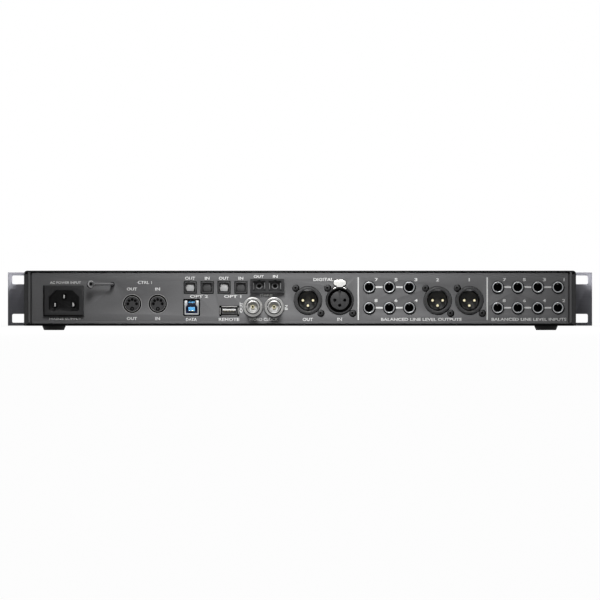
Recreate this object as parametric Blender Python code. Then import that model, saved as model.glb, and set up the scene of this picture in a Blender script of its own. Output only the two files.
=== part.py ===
"""Rack audio interface, one unit high, as an assembly of separate pieces.

Metres, +Z up. The connector panel faces -Y and the control panel faces +Y. The origin is in the middle of
the footprint, on the surface that the feet stand on. Heights named ..._Z count from the middle of the body.
"""

import math

import bmesh
import bpy
from mathutils import Matrix, Vector

# Clearances
FIT = 0.0003
SNUG = 0.00015
BITE = 0.0004

# Body and sheet metal
BODY_W = 0.440
BODY_H = 0.044
BODY_D = 0.242
COVER_T = 0.0012
COVER_BEND = 0.0025
TRAY_T = 0.0015
TRAY_BEND = 0.0020
SHEET_LIP = 0.0010
HEM_W = 0.0019
HEM_D = 0.0090
VENT_COUNT = 8
VENT_W = 0.0030
VENT_H = 0.0200
VENT_PITCH = 0.0080

# Rear panel
PANEL_T = 0.0015
PANEL_BEND = 0.0018
PANEL_FOLD = 0.0090
PANEL_SIDE_GAP = 0.0012
PANEL_TOP_GAP = 0.0006
PANEL_SEAM_X = (0.0463, 0.1493)

# Front panel and rack ears
FRONT_T = 0.0040
EAR_REACH = 0.0213
EAR_T = 0.0030
EAR_LEG_T = 0.0025
EAR_LEG_D = 0.0450
SLOT_INSET = 0.00875
SLOT_RISE = 0.03175
SLOT_W = 0.0105
SLOT_H = 0.0072
SLOT_CORNER = 0.0012

# Feet
FOOT_H = 0.0035
FOOT_TOP_R = 0.00935
FOOT_BASE_R = 0.00795
FOOT_RECESS_R = 0.0035
FOOT_RECESS_D = 0.0015
FOOT_REAR_SIDE = 0.0230
FOOT_FRONT_SIDE = 0.0176
FOOT_INSET = 0.030

# Mains inlet and cord hook
INLET_X = -0.1881
INLET_Z = -0.0020
INLET_W = 0.0315
INLET_H = 0.0245
INLET_FLANGE_T = 0.0020
INLET_CORNER = 0.0005
INLET_WALL = 0.0015
INLET_MOUTH_W = 0.0242
INLET_MOUTH_H = 0.0167
INLET_MOUTH_CUT = 0.0055
INLET_MOUTH_D = 0.0150
INLET_FLOOR_T = 0.0040
BLADE_W = 0.0020
BLADE_H = 0.0040
BLADE_STEP_X = 0.0072
BLADE_STEP_Z = 0.0033
BLADE_SET_BACK = 0.0030
BLADE_TAIL = 0.0040
HOOK_X = -0.1496
HOOK_Z = 0.0111
HOOK_R = 0.0015
HOOK_RUN = 0.0169
HOOK_STAND = 0.0095
HOOK_BEND = 0.0030
HOOK_TIP_R = 0.0025
HOOK_TIP_L = 0.0020
HOOK_COLLAR_R = 0.0030
HOOK_COLLAR_T = 0.0014

# Round five-pin sockets
DIN_X = -0.1338
DIN_PITCH = 0.0204
DIN_Z = -0.0045
DIN_NOSE_R = 0.0074
DIN_GROOVE_R = 0.0068
DIN_INSERT_R = 0.0060
DIN_GROOVE_D = 0.0080
DIN_BODY = 0.0186
DIN_DEPTH = 0.0150
DIN_PIN_RING = 0.0035
DIN_PIN_COUNT = 5
DIN_PIN_R = 0.0008
DIN_PIN_D = 0.0060
DIN_KEY_R = 0.0013

# Square optical ports
OPTIC_X = -0.0875
OPTIC_PITCH = 0.01347
OPTIC_Z = 0.0086
OPTIC_COUNT = 4
OPTIC_W = 0.0100
OPTIC_H = 0.0098
OPTIC_DEPTH = 0.0140
OPTIC_MOUTH_W = 0.0068
OPTIC_MOUTH_H = 0.0059
OPTIC_LIP = 0.0012
OPTIC_WALL = 0.0008
OPTIC_SET_BACK = 0.0004
SHUTTER_T = 0.0008
SHUTTER_LAP = 0.0003

# Data ports
HOST_X = -0.0864
HOST_Z = -0.0072
HOST_W = 0.0124
HOST_H = 0.0121
HOST_WALL = 0.0005
HOST_DEPTH = 0.0160
HOST_MOUTH_D = 0.0090
HOST_LOW_W = 0.0088
HOST_LOW_H = 0.0062
HOST_HIGH_W = 0.0066
HOST_HIGH_H = 0.0036
HOST_TONGUE_W = 0.0056
HOST_TONGUE_H = 0.0031
HOST_STRIP_H = 0.0014
AUX_X = -0.0564
AUX_Z = -0.0102
AUX_MOUTH_W = 0.0125
AUX_MOUTH_H = 0.0051
AUX_WALL = 0.0005
AUX_LIP = 0.0009
AUX_LIP_T = 0.0005
AUX_DEPTH = 0.0140
AUX_TONGUE_W = 0.0110
AUX_TONGUE_H = 0.0016
AUX_TONGUE_Z = 0.0010
AUX_BLOCK_D = 0.0040

# Fibre duplex socket
FIBRE_X = -0.0262
FIBRE_Z = 0.0097
FIBRE_W = 0.0270
FIBRE_H = 0.0115
FIBRE_PROUD = 0.0040
FIBRE_SHOULDER = 0.0014
FIBRE_DEPTH = 0.0180
FIBRE_PITCH = 0.0127
FIBRE_MOUTH_W = 0.0097
FIBRE_MOUTH_H = 0.0080
FIBRE_MOUTH_D = 0.0150
FIBRE_KEY_W = 0.0024
FIBRE_KEY_H = 0.0008
FERRULE_R = 0.00265
FERRULE_BORE_R = 0.00165
FERRULE_SET_BACK = 0.0052

# Bayonet clock jacks
CLOCK_X = -0.0376
CLOCK_PITCH = 0.01695
CLOCK_Z = -0.0069
CLOCK_REACH = 0.0135
CLOCK_FLANGE_R = 0.0079
CLOCK_FLANGE_T = 0.0024
CLOCK_SHELL_R = 0.0049
CLOCK_BORE_R = 0.0041
CLOCK_BORE_D = 0.0085
CLOCK_POST_R = 0.0018
CLOCK_POST_SET_BACK = 0.0025
CLOCK_POST_BORE_R = 0.0010
CLOCK_NECK_R = 0.0046
CLOCK_NUT_R = 0.0068
CLOCK_NUT_T = 0.0025
CLOCK_DEPTH = 0.0140
CLOCK_LUG_R = 0.0010
CLOCK_LUG_REACH = 0.0011
CLOCK_LUG_SET_BACK = 0.0040

# Three-pin round connectors
XLR_PLUG_X = (0.0063, 0.1097, 0.1350)
XLR_SOCKET_X = 0.0317
XLR_Z = -0.00175
XLR_NOSE_R = 0.0111
XLR_PROUD = 0.0010
XLR_FLANGE = 0.0246
XLR_FLANGE_CORNER = 0.0030
XLR_FLANGE_T = 0.0025
XLR_DEPTH = 0.0220
XLR_FLOOR_T = 0.0020
XLR_CUP_R = 0.0084
XLR_CUP_FLAT = 0.0076
XLR_KEY_W = 0.0022
XLR_KEY_H = 0.0010
XLR_CARRIER_T = 0.0040
XLR_PIN_STEP = 0.0039
XLR_PIN_R = 0.0012
XLR_PIN_SET_BACK = 0.0040
XLR_PIN_NOSE = 0.0008
XLR_GROOVE_R = 0.00965
XLR_INSERT_R = 0.00745
XLR_INSERT_SET_BACK = 0.0010
XLR_HOLE_R = 0.00135
XLR_HOLE_D = 0.0120
LATCH_W = 0.0102
LATCH_H = 0.0051
LATCH_CORNER = 0.0024
LATCH_NECK_W = 0.0052
LATCH_NECK_H = 0.0009
LATCH_Z = 0.0140
LATCH_PROUD = 0.0020

# Quarter-inch jacks
JACK_OUT_X = 0.0551
JACK_OUT_COUNT = 3
JACK_IN_X = 0.1576
JACK_IN_COUNT = 4
JACK_PITCH = 0.0160
JACK_HIGH_Z = 0.00885
JACK_LOW_Z = -0.0076
JACK_RING_R = 0.0044
JACK_BORE_R = 0.0033
JACK_PROUD = 0.0012
JACK_BODY_W = 0.0153
JACK_DEPTH = 0.0270
JACK_FLOOR_T = 0.0025

# Front controls
COMBO_X = (0.1850, 0.1530)
COMBO_FACE_R = 0.0118
COMBO_PIN_RING = 0.0052
COMBO_PIN_ANGLES = (30, 270)
PHONES_X = 0.1200
PHONES_NOSE_R = 0.0075
DISPLAY_X = 0.0
DISPLAY_W = 0.0560
DISPLAY_H = 0.0260
DISPLAY_T = 0.0020
DISPLAY_SET_BACK = 0.0004
KNOB_X = -0.0560
KNOB_PITCH = 0.0260
KNOB_COUNT = 3
KNOB_R = 0.0080
KNOB_TOP_R = 0.0074
KNOB_REACH = 0.0120
KNOB_GAP = 0.0006
KNOB_SHAFT_R = 0.0030
KNOB_SHAFT_D = 0.0060
BUTTON_X = -0.1850
BUTTON_R = 0.0050
BUTTON_PROUD = 0.0020
BUTTON_COLLAR_R = 0.0065
BUTTON_COLLAR_T = 0.0015
STUD_R = 0.0025

# Boards
BOARD_T = 0.0016
STANDOFF_R = 0.0030
MAIN_BOARD_LEFT = -0.1480
MAIN_BOARD_SIDE_GAP = 0.0030
MAIN_BOARD_D = 0.1200
MAIN_BOARD_SET_BACK = 0.0030
FRONT_BOARD_X = (-0.1300, 0.0500)
FRONT_BOARD_H = 0.0340
STANDOFF_INSET = 0.0080
SINK_SIZE = 0.0360
SINK_SET_BACK = 0.0900
SINK_FIN_T = 0.0020
SINK_FIN_COUNT = 7
SINK_H = 0.0140

# Roundness of turned and drilled shapes
FINE = 24
ROUND = 16
SMALL = 8
BEND_STEPS = 4
SMOOTH_ANGLE = math.radians(40)

# Levels and planes that follow from the sizes
rear_reach = max(CLOCK_REACH, HOOK_STAND + HOOK_BEND + HOOK_TIP_L)
rear_y = rear_reach - (rear_reach + BODY_D + KNOB_REACH) / 2
front_y = rear_y + BODY_D
inner_y = rear_y + PANEL_T + FIT
front_back_y = front_y - FRONT_T
base_z = FOOT_H
top_z = FOOT_H + BODY_H
mid_z = FOOT_H + BODY_H / 2
floor_z = base_z + TRAY_T
tray_half = BODY_W / 2 - COVER_T - FIT
tray_inside = tray_half - TRAY_T
tray_rim_z = top_z - COVER_BEND - FIT
panel_half = tray_inside - HEM_W - PANEL_SIDE_GAP
panel_low_z = floor_z + FIT
panel_high_z = top_z - COVER_T - PANEL_TOP_GAP
sheet_y = (rear_y - SHEET_LIP, front_back_y - FIT)
jack_half = JACK_BODY_W / 2
board_top_z = mid_z + JACK_LOW_Z - jack_half - FIT
board_z = board_top_z - BOARD_T
main_board_right = tray_inside - MAIN_BOARD_SIDE_GAP
main_board_y = inner_y + MAIN_BOARD_SET_BACK


def clear_scene():
    for old in list(bpy.data.objects):
        bpy.data.objects.remove(old, do_unlink=True)


def look(name, rgb, roughness, metallic=0.0):
    """The material of this name, made once."""
    found = bpy.data.materials.get(name)
    if found:
        return found
    made = bpy.data.materials.new(name)
    made.use_nodes = True
    shader = made.node_tree.nodes["Principled BSDF"]
    shader.inputs["Base Color"].default_value = (*rgb, 1.0)
    shader.inputs["Roughness"].default_value = roughness
    shader.inputs["Metallic"].default_value = metallic
    made.diffuse_color = (*rgb, 1.0)
    return made


def black_paint():
    return look("black_paint", (0.012, 0.012, 0.013), 0.45)


def grey_paint():
    return look("grey_paint", (0.13, 0.13, 0.135), 0.50)


def dark_metal():
    return look("dark_anodised", (0.16, 0.16, 0.18), 0.35, 0.8)


def black_plastic():
    return look("black_plastic", (0.014, 0.014, 0.015), 0.40)


def grey_plastic():
    return look("grey_plastic", (0.045, 0.045, 0.048), 0.50)


def pale_plastic():
    return look("pale_plastic", (0.45, 0.45, 0.45), 0.50)


def blue_plastic():
    return look("blue_plastic", (0.03, 0.12, 0.45), 0.40)


def white_plastic():
    return look("white_plastic", (0.80, 0.80, 0.78), 0.40)


def nickel():
    return look("nickel", (0.78, 0.77, 0.74), 0.22, 1.0)


def gold():
    return look("gold", (0.85, 0.66, 0.32), 0.25, 1.0)


def rubber():
    return look("rubber", (0.010, 0.010, 0.010), 0.80)


def board_green():
    return look("circuit_board", (0.02, 0.11, 0.05), 0.45)


def glass():
    return look("display_glass", (0.010, 0.012, 0.016), 0.08)


def spot(axis, u, v, w):
    """A point with w along the axis and u, v across it, in the order of the axes that are left."""
    return {"X": (w, u, v), "Y": (u, w, v), "Z": (u, v, w)}[axis]


def arc(u, v, radius, start, stop, steps):
    turns = [math.radians(start + (stop - start) * k / steps) for k in range(steps + 1)]
    return [(u + radius * math.cos(t), v + radius * math.sin(t)) for t in turns]


def circle(u, v, radius, sides):
    return arc(u, v, radius, 0, 360, sides)[:-1]


def rectangle(u, v, width, height, corner=0.0, steps=BEND_STEPS):
    half_w, half_h = width / 2, height / 2
    if corner <= 0:
        return [
            (u - half_w, v - half_h),
            (u + half_w, v - half_h),
            (u + half_w, v + half_h),
            (u - half_w, v + half_h),
        ]
    in_w, in_h = half_w - corner, half_h - corner
    return (
        arc(u + in_w, v - in_h, corner, -90, 0, steps)
        + arc(u + in_w, v + in_h, corner, 0, 90, steps)
        + arc(u - in_w, v + in_h, corner, 90, 180, steps)
        + arc(u - in_w, v - in_h, corner, 180, 270, steps)
    )


def channel(half, back, rim, thickness, bend):
    """Outline of a sheet folded into a channel, with its back at one height and its two rims at another."""
    way = 1 if rim > back else -1
    hub_u, hub_v = half - bend, back + way * bend

    def side(radius):
        left = arc(-hub_u, hub_v, radius, 180, 180 + way * 90, BEND_STEPS)
        return left + [(-u, v) for u, v in reversed(left)]

    outer = [(-half, rim)] + side(bend) + [(half, rim)]
    inner = [(thickness - half, rim)] + side(bend - thickness) + [(half - thickness, rim)]
    return outer + inner[::-1]


def add_prism(bm, outline, near, far, axis="Y", holes=()):
    """Adds an outline, with any holes, drawn out along an axis."""
    edges = []
    for loop in (outline, *holes):
        verts = [bm.verts.new(spot(axis, u, v, near)) for u, v in loop]
        edges += [bm.edges.new(pair) for pair in zip(verts, verts[1:] + verts[:1])]
    if holes:
        filled = bmesh.ops.triangle_fill(bm, use_beauty=True, edges=edges)["geom"]
        faces = [g for g in filled if isinstance(g, bmesh.types.BMFace)]
    else:
        faces = [bm.faces.new(verts)]
    drawn = bmesh.ops.extrude_face_region(bm, geom=faces)["geom"]
    moved = [g for g in drawn if isinstance(g, bmesh.types.BMVert)]
    bmesh.ops.translate(bm, verts=moved, vec=Vector(spot(axis, 0, 0, far - near)))


def add_turned(bm, profile, u, v, sides, axis="Y"):
    """Adds a profile of (radius, place on the axis) turned about an axis through u, v."""
    rings = []
    for radius, w in profile:
        corners = circle(u, v, radius, sides) if radius else [(u, v)]
        rings.append([bm.verts.new(spot(axis, *c, w)) for c in corners])
    pairs = list(zip(rings, rings[1:]))
    if profile[0][0]:
        pairs.append((rings[-1], rings[0]))
    for a, b in pairs:
        for k in range(sides):
            n = k + 1
            quad = [a[k % len(a)], a[n % len(a)], b[n % len(b)], b[k % len(b)]]
            bm.faces.new(list(dict.fromkeys(quad)))


def add_rod(bm, path, z, sides):
    """Adds a round rod along a level path of (x, y, radius)."""
    rings = []
    for k, (x, y, radius) in enumerate(path):
        before, after = path[max(k - 1, 0)], path[min(k + 1, len(path) - 1)]
        along = Vector((after[0] - before[0], after[1] - before[1], 0)).normalized()
        aside = Vector((-along.y, along.x, 0))
        ring = []
        for c, s in circle(0, 0, radius, sides):
            ring.append(bm.verts.new(Vector((x, y, z)) + aside * c + Vector((0, 0, s))))
        rings.append(ring)
    bm.faces.new(rings[0])
    bm.faces.new(rings[-1])
    for a, b in zip(rings, rings[1:]):
        for k in range(sides):
            n = (k + 1) % sides
            bm.faces.new((a[k], a[n], b[n], b[k]))


def make(name, bm, material=None):
    """An object from a bmesh. One with no material is a guide that other objects are cut or joined with."""
    bmesh.ops.recalc_face_normals(bm, faces=bm.faces)
    mesh = bpy.data.meshes.new(name)
    bm.to_mesh(mesh)
    bm.free()
    mesh.shade_smooth()
    mesh.set_sharp_from_angle(angle=SMOOTH_ANGLE)
    made = bpy.data.objects.new(name, mesh)
    bpy.context.collection.objects.link(made)
    if material:
        mesh.materials.append(material)
    else:
        made.hide_render = True
        made.display_type = "WIRE"
    return made


def combine(target, bm, operation):
    """Cuts or joins a target with the shapes in a bmesh."""
    guide = make(f"{target.name}_{operation.lower()}_{len(target.modifiers)}", bm)
    step = target.modifiers.new(operation.lower(), "BOOLEAN")
    step.operation = operation
    step.solver = "EXACT"
    step.object = guide
    return guide


def put_origin(target, point):
    """Moves an object's origin to a point and leaves its shape where it is."""
    target.data.transform(Matrix.Translation(-Vector(point)))
    target.location = point


def prism_object(name, material, outline, near, far, axis="Y", holes=()):
    bm = bmesh.new()
    add_prism(bm, outline, near, far, axis, holes)
    return make(name, bm, material)


def spread(first, pitch, count):
    return [first + pitch * k for k in range(count)]


def centred(pitch, count):
    return spread(-pitch * (count - 1) / 2, pitch, count)


optic_xs = spread(OPTIC_X, OPTIC_PITCH, OPTIC_COUNT)
jack_out_xs = spread(JACK_OUT_X, JACK_PITCH, JACK_OUT_COUNT)
jack_in_xs = spread(JACK_IN_X, JACK_PITCH, JACK_IN_COUNT)
jack_zs = (mid_z + JACK_LOW_Z, mid_z + JACK_HIGH_Z)
din_xs = spread(DIN_X, DIN_PITCH, 2)
clock_xs = spread(CLOCK_X, CLOCK_PITCH, 2)
knob_xs = spread(KNOB_X, -KNOB_PITCH, KNOB_COUNT)
xlr_z = mid_z + XLR_Z
inlet_body_w = INLET_MOUTH_W + 2 * INLET_WALL
inlet_body_h = INLET_MOUTH_H + 2 * INLET_WALL
fibre_body_w = FIBRE_W - 2 * FIBRE_SHOULDER
fibre_body_h = FIBRE_H - 2 * FIBRE_SHOULDER
aux_w = AUX_MOUTH_W + 2 * AUX_WALL
aux_h = AUX_MOUTH_H + 2 * AUX_WALL


def latch_outline(grow):
    """The release tab's outline above its socket, grown by a clearance."""
    half, neck = LATCH_W / 2 + grow, LATCH_NECK_W / 2 + grow
    low, high = LATCH_Z - LATCH_H / 2 - grow, LATCH_Z + LATCH_H / 2 + grow
    corner = LATCH_CORNER + grow
    foot = low - LATCH_NECK_H
    points = [(-neck, foot), (neck, foot), (neck, low)]
    points += arc(half - corner, low + corner, corner, -90, 0, BEND_STEPS)
    points += arc(half - corner, high - corner, corner, 0, 90, BEND_STEPS)
    points += arc(corner - half, high - corner, corner, 90, 180, BEND_STEPS)
    points += arc(corner - half, low + corner, corner, 180, 270, BEND_STEPS)
    points.append((-neck, low))
    return [(XLR_SOCKET_X + u, xlr_z + v) for u, v in points]


def vent_prisms():
    """The side vents, as shapes that reach through cover and tray at both sides."""
    bm = bmesh.new()
    middle = (sheet_y[0] + sheet_y[1]) / 2
    for step in centred(VENT_PITCH, VENT_COUNT):
        for side in (-1, 1):
            slot = rectangle(middle + step, mid_z, VENT_W, VENT_H)
            add_prism(bm, slot, side * (tray_inside - BITE), side * (BODY_W / 2 + BITE), "X")
    return bm


def build_cover():
    outline = channel(BODY_W / 2, top_z, base_z, COVER_T, COVER_BEND)
    cover = prism_object("top_cover", black_paint(), outline, *sheet_y)
    combine(cover, vent_prisms(), "DIFFERENCE")


def standoff_spots():
    """Where standoffs rise from the tray: (x, y) under the corners of the main board."""
    xs = (MAIN_BOARD_LEFT + STANDOFF_INSET, main_board_right - STANDOFF_INSET)
    ys = (main_board_y + STANDOFF_INSET, main_board_y + MAIN_BOARD_D - STANDOFF_INSET)
    return [(x, y) for x in xs for y in ys]


def build_tray():
    outline = channel(tray_half, base_z, tray_rim_z, TRAY_T, TRAY_BEND)
    tray = prism_object("base_tray", black_paint(), outline, *sheet_y)
    added = bmesh.new()
    nose = HEM_W / 2
    for side in (-1, 1):
        middle = side * (tray_inside - nose)
        hem = arc(middle, sheet_y[0] + nose, nose, 180, 360, 2 * BEND_STEPS)
        hem += [(middle + nose, sheet_y[0] + HEM_D), (middle - nose, sheet_y[0] + HEM_D)]
        hem = [(u + side * BITE, v) for u, v in hem]
        add_prism(added, hem, floor_z - BITE, tray_rim_z - TRAY_T, "Z")
    for x, y in standoff_spots():
        post = circle(x, y, STANDOFF_R, SMALL)
        add_prism(added, post, floor_z - BITE, board_z - FIT, "Z")
    combine(tray, added, "UNION")
    combine(tray, vent_prisms(), "DIFFERENCE")


def rear_holes():
    """Outlines of all the cut-outs in the rear panel."""
    lips = 2 * AUX_LIP + 2 * FIT
    holes = [
        rectangle(INLET_X, mid_z + INLET_Z, inlet_body_w + 2 * FIT, inlet_body_h + 2 * FIT),
        circle(HOOK_X, mid_z + HOOK_Z, HOOK_R + FIT, SMALL),
        rectangle(HOST_X, mid_z + HOST_Z, HOST_W + 2 * FIT, HOST_H + 2 * FIT),
        rectangle(AUX_X, mid_z + AUX_Z, aux_w + lips, aux_h + lips),
        rectangle(FIBRE_X, mid_z + FIBRE_Z, fibre_body_w + 2 * FIT, fibre_body_h + 2 * FIT),
    ]
    holes += [circle(x, mid_z + DIN_Z, DIN_NOSE_R + FIT, ROUND) for x in din_xs]
    holes += [rectangle(x, mid_z + OPTIC_Z, OPTIC_W + 2 * FIT, OPTIC_H + 2 * FIT) for x in optic_xs]
    holes += [circle(x, mid_z + CLOCK_Z, CLOCK_NECK_R + FIT, ROUND) for x in clock_xs]
    holes += [circle(x, xlr_z, XLR_NOSE_R + FIT, FINE) for x in (*XLR_PLUG_X, XLR_SOCKET_X)]
    holes += [circle(x, z, JACK_RING_R + FIT, ROUND) for x in jack_out_xs + jack_in_xs for z in jack_zs]
    return holes


def build_rear_panel():
    half = (panel_high_z - panel_low_z) / 2
    middle = (panel_high_z + panel_low_z) / 2
    fold = channel(half, rear_y, rear_y + PANEL_FOLD, PANEL_T, PANEL_BEND)
    section = [(v, middle + u) for u, v in fold]
    names = ("rear_panel", "rear_panel_outputs", "rear_panel_inputs")
    ends = (-panel_half - SNUG, *PANEL_SEAM_X, panel_half + SNUG)
    near, far = rear_y - PANEL_T, rear_y + 2 * PANEL_T
    for name, left, right in zip(names, ends, ends[1:]):
        panel = prism_object(name, grey_paint(), section, left + SNUG, right - SNUG, "X")
        cutter = bmesh.new()
        for hole in rear_holes():
            if left < hole[0][0] < right:
                add_prism(cutter, hole, near, far)
        combine(panel, cutter, "DIFFERENCE")
        if left < XLR_SOCKET_X < right:
            window = bmesh.new()
            add_prism(window, latch_outline(FIT), near, far)
            combine(panel, window, "DIFFERENCE")


def build_ears():
    inner, outer = BODY_W / 2 + FIT, BODY_W / 2 + EAR_REACH
    for name, side in (("rack_ear_left", -1), ("rack_ear_right", 1)):
        section = [
            (inner, front_y - EAR_LEG_D),
            (inner + EAR_LEG_T, front_y - EAR_LEG_D),
            (inner + EAR_LEG_T, front_y - EAR_T),
            (outer, front_y - EAR_T),
            (outer, front_y),
            (inner, front_y),
        ]
        section = [(side * u, v) for u, v in section]
        ear = prism_object(name, dark_metal(), section, base_z, top_z, "Z")
        slots = bmesh.new()
        for rise in (-SLOT_RISE / 2, SLOT_RISE / 2):
            slot = rectangle(side * (outer - SLOT_INSET), mid_z + rise, SLOT_W, SLOT_H, SLOT_CORNER)
            add_prism(slots, slot, front_y - 2 * EAR_T, front_y + EAR_T)
        combine(ear, slots, "DIFFERENCE")


def build_feet():
    rows = (("rear", rear_y + FOOT_INSET, FOOT_REAR_SIDE), ("front", front_y - FOOT_INSET, FOOT_FRONT_SIDE))
    for row, y, inset in rows:
        for hand, side in (("left", -1), ("right", 1)):
            x = side * (BODY_W / 2 - inset)
            profile = [
                (0, base_z - FIT),
                (FOOT_TOP_R, base_z - FIT),
                (FOOT_BASE_R, 0),
                (FOOT_RECESS_R, 0),
                (FOOT_RECESS_R, FOOT_RECESS_D),
                (0, FOOT_RECESS_D),
            ]
            bm = bmesh.new()
            add_turned(bm, profile, x, y, ROUND, "Z")
            make(f"foot_{row}_{hand}", bm, rubber())


def inlet_blades():
    """Names and places of the three blades in the mains inlet."""
    z = mid_z + INLET_Z
    return (
        ("mains_blade_earth", INLET_X, z + BLADE_STEP_Z),
        ("mains_blade_left", INLET_X - BLADE_STEP_X, z - BLADE_STEP_Z),
        ("mains_blade_right", INLET_X + BLADE_STEP_X, z - BLADE_STEP_Z),
    )


def build_inlet():
    z = mid_z + INLET_Z
    face_y = rear_y - FIT - INLET_FLANGE_T
    floor_y = face_y + INLET_MOUTH_D
    back_y = floor_y + INLET_FLOOR_T
    flange = rectangle(INLET_X, z, INLET_W, INLET_H, INLET_CORNER)
    inlet = prism_object("mains_inlet", black_plastic(), flange, face_y, rear_y - FIT)
    body = bmesh.new()
    body_outline = rectangle(INLET_X, z, inlet_body_w, inlet_body_h)
    add_prism(body, body_outline, face_y + INLET_FLANGE_T / 2, back_y)
    combine(inlet, body, "UNION")
    half_w, half_h, cut = INLET_MOUTH_W / 2, INLET_MOUTH_H / 2, INLET_MOUTH_CUT
    mouth = [
        (INLET_X - half_w, z - half_h),
        (INLET_X + half_w, z - half_h),
        (INLET_X + half_w, z + half_h - cut),
        (INLET_X + half_w - cut, z + half_h),
        (INLET_X - half_w + cut, z + half_h),
        (INLET_X - half_w, z + half_h - cut),
    ]
    cavity = bmesh.new()
    add_prism(cavity, mouth, face_y - INLET_FLANGE_T, floor_y)
    combine(inlet, cavity, "DIFFERENCE")
    seats = bmesh.new()
    for name, x, blade_z in inlet_blades():
        seat = rectangle(x, blade_z, BLADE_W + 2 * SNUG, BLADE_H + 2 * SNUG)
        add_prism(seats, seat, floor_y - BITE, back_y + BITE)
        blade = rectangle(x, blade_z, BLADE_W, BLADE_H)
        prism_object(name, nickel(), blade, face_y + BLADE_SET_BACK, back_y + BLADE_TAIL)
    combine(inlet, seats, "DIFFERENCE")


def build_hook():
    run_y = rear_y - HOOK_STAND
    tip_x = HOOK_X - HOOK_RUN
    tip_y = run_y - HOOK_BEND - HOOK_TIP_L
    seat_y = rear_y - FIT
    nut_y = inner_y + HOOK_COLLAR_T
    path = [
        (HOOK_X, nut_y, HOOK_COLLAR_R),
        (HOOK_X, inner_y, HOOK_COLLAR_R),
        (HOOK_X, inner_y, HOOK_R),
        (HOOK_X, seat_y, HOOK_R),
        (HOOK_X, seat_y, HOOK_COLLAR_R),
        (HOOK_X, seat_y - HOOK_COLLAR_T, HOOK_COLLAR_R),
        (HOOK_X, seat_y - HOOK_COLLAR_T, HOOK_R),
    ]
    out_bend = arc(HOOK_X - HOOK_BEND, run_y + HOOK_BEND, HOOK_BEND, 0, -90, BEND_STEPS)
    end_bend = arc(tip_x + HOOK_BEND, run_y - HOOK_BEND, HOOK_BEND, 90, 180, BEND_STEPS)
    path += [(x, y, HOOK_R) for x, y in out_bend + end_bend]
    path += [(tip_x, tip_y + HOOK_TIP_L / 2, HOOK_TIP_R), (tip_x, tip_y, HOOK_TIP_R)]
    bm = bmesh.new()
    add_rod(bm, path, mid_z + HOOK_Z, SMALL)
    make("cord_hook", bm, black_paint())


def build_din_sockets():
    z = mid_z + DIN_Z
    for name, x in zip(("din_socket_out", "din_socket_in"), din_xs):
        face_y = rear_y + SNUG
        body = rectangle(x, z, DIN_BODY, DIN_BODY)
        socket = prism_object(name, grey_plastic(), body, inner_y, inner_y + DIN_DEPTH)
        nose = bmesh.new()
        add_prism(nose, circle(x, z, DIN_NOSE_R, ROUND), face_y, inner_y + DIN_DEPTH / 2)
        combine(socket, nose, "UNION")
        cutter = bmesh.new()
        ring = [
            (DIN_INSERT_R, face_y - DIN_GROOVE_D / 2),
            (DIN_GROOVE_R, face_y - DIN_GROOVE_D / 2),
            (DIN_GROOVE_R, face_y + DIN_GROOVE_D),
            (DIN_INSERT_R, face_y + DIN_GROOVE_D),
        ]
        add_turned(cutter, ring, x, z, ROUND)
        for u, v in arc(x, z, DIN_PIN_RING, 0, 180, DIN_PIN_COUNT - 1):
            add_prism(cutter, circle(u, v, DIN_PIN_R, SMALL), face_y - DIN_PIN_D, face_y + DIN_PIN_D)
        combine(socket, cutter, "DIFFERENCE")
        key = bmesh.new()
        notch = circle(x, z - DIN_INSERT_R + DIN_KEY_R / 2, DIN_KEY_R, SMALL)
        add_prism(key, notch, face_y - DIN_PIN_D, face_y + DIN_PIN_D)
        combine(socket, key, "DIFFERENCE")


def build_optical_ports():
    z = mid_z + OPTIC_Z
    face_y = rear_y + OPTIC_SET_BACK
    room_y = face_y + OPTIC_LIP
    half_w, half_h = OPTIC_MOUTH_W / 2, OPTIC_MOUTH_H / 2
    room_w = OPTIC_W - 2 * OPTIC_WALL
    room_low, room_high = z - OPTIC_H / 2 + OPTIC_WALL, z + OPTIC_H / 2 - OPTIC_WALL / 2
    shutter_w = room_w - 2 * FIT
    hinge_y = room_y + FIT + SHUTTER_T / 2
    hinge_z = room_high - FIT - SHUTTER_T
    for number, x in enumerate(optic_xs, 1):
        outline = rectangle(x, z, OPTIC_W, OPTIC_H)
        port = prism_object(f"optical_port_{number}", black_plastic(), outline, face_y, face_y + OPTIC_DEPTH)
        mouth = [
            (x - half_w + OPTIC_WALL, z - half_h),
            (x + half_w - OPTIC_WALL, z - half_h),
            (x + half_w, z),
            (x + half_w - OPTIC_WALL, z + half_h),
            (x - half_w + OPTIC_WALL, z + half_h),
            (x - half_w, z),
        ]
        opening = bmesh.new()
        add_prism(opening, mouth, face_y - OPTIC_LIP, room_y + BITE)
        combine(port, opening, "DIFFERENCE")
        room = bmesh.new()
        space = rectangle(x, (room_low + room_high) / 2, room_w, room_high - room_low)
        add_prism(room, space, room_y, face_y + OPTIC_DEPTH - OPTIC_LIP)
        combine(port, room, "DIFFERENCE")
        low, high = z - half_h - SHUTTER_LAP, hinge_z + SHUTTER_T / 2
        flap = rectangle(x, (low + high) / 2, shutter_w, high - low)
        shade = pale_plastic() if number % 2 else grey_plastic()
        shutter = prism_object(
            f"optical_shutter_{number}", shade, flap, hinge_y - SHUTTER_T / 2, hinge_y + SHUTTER_T / 2
        )
        put_origin(shutter, (x, hinge_y, hinge_z))


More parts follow.
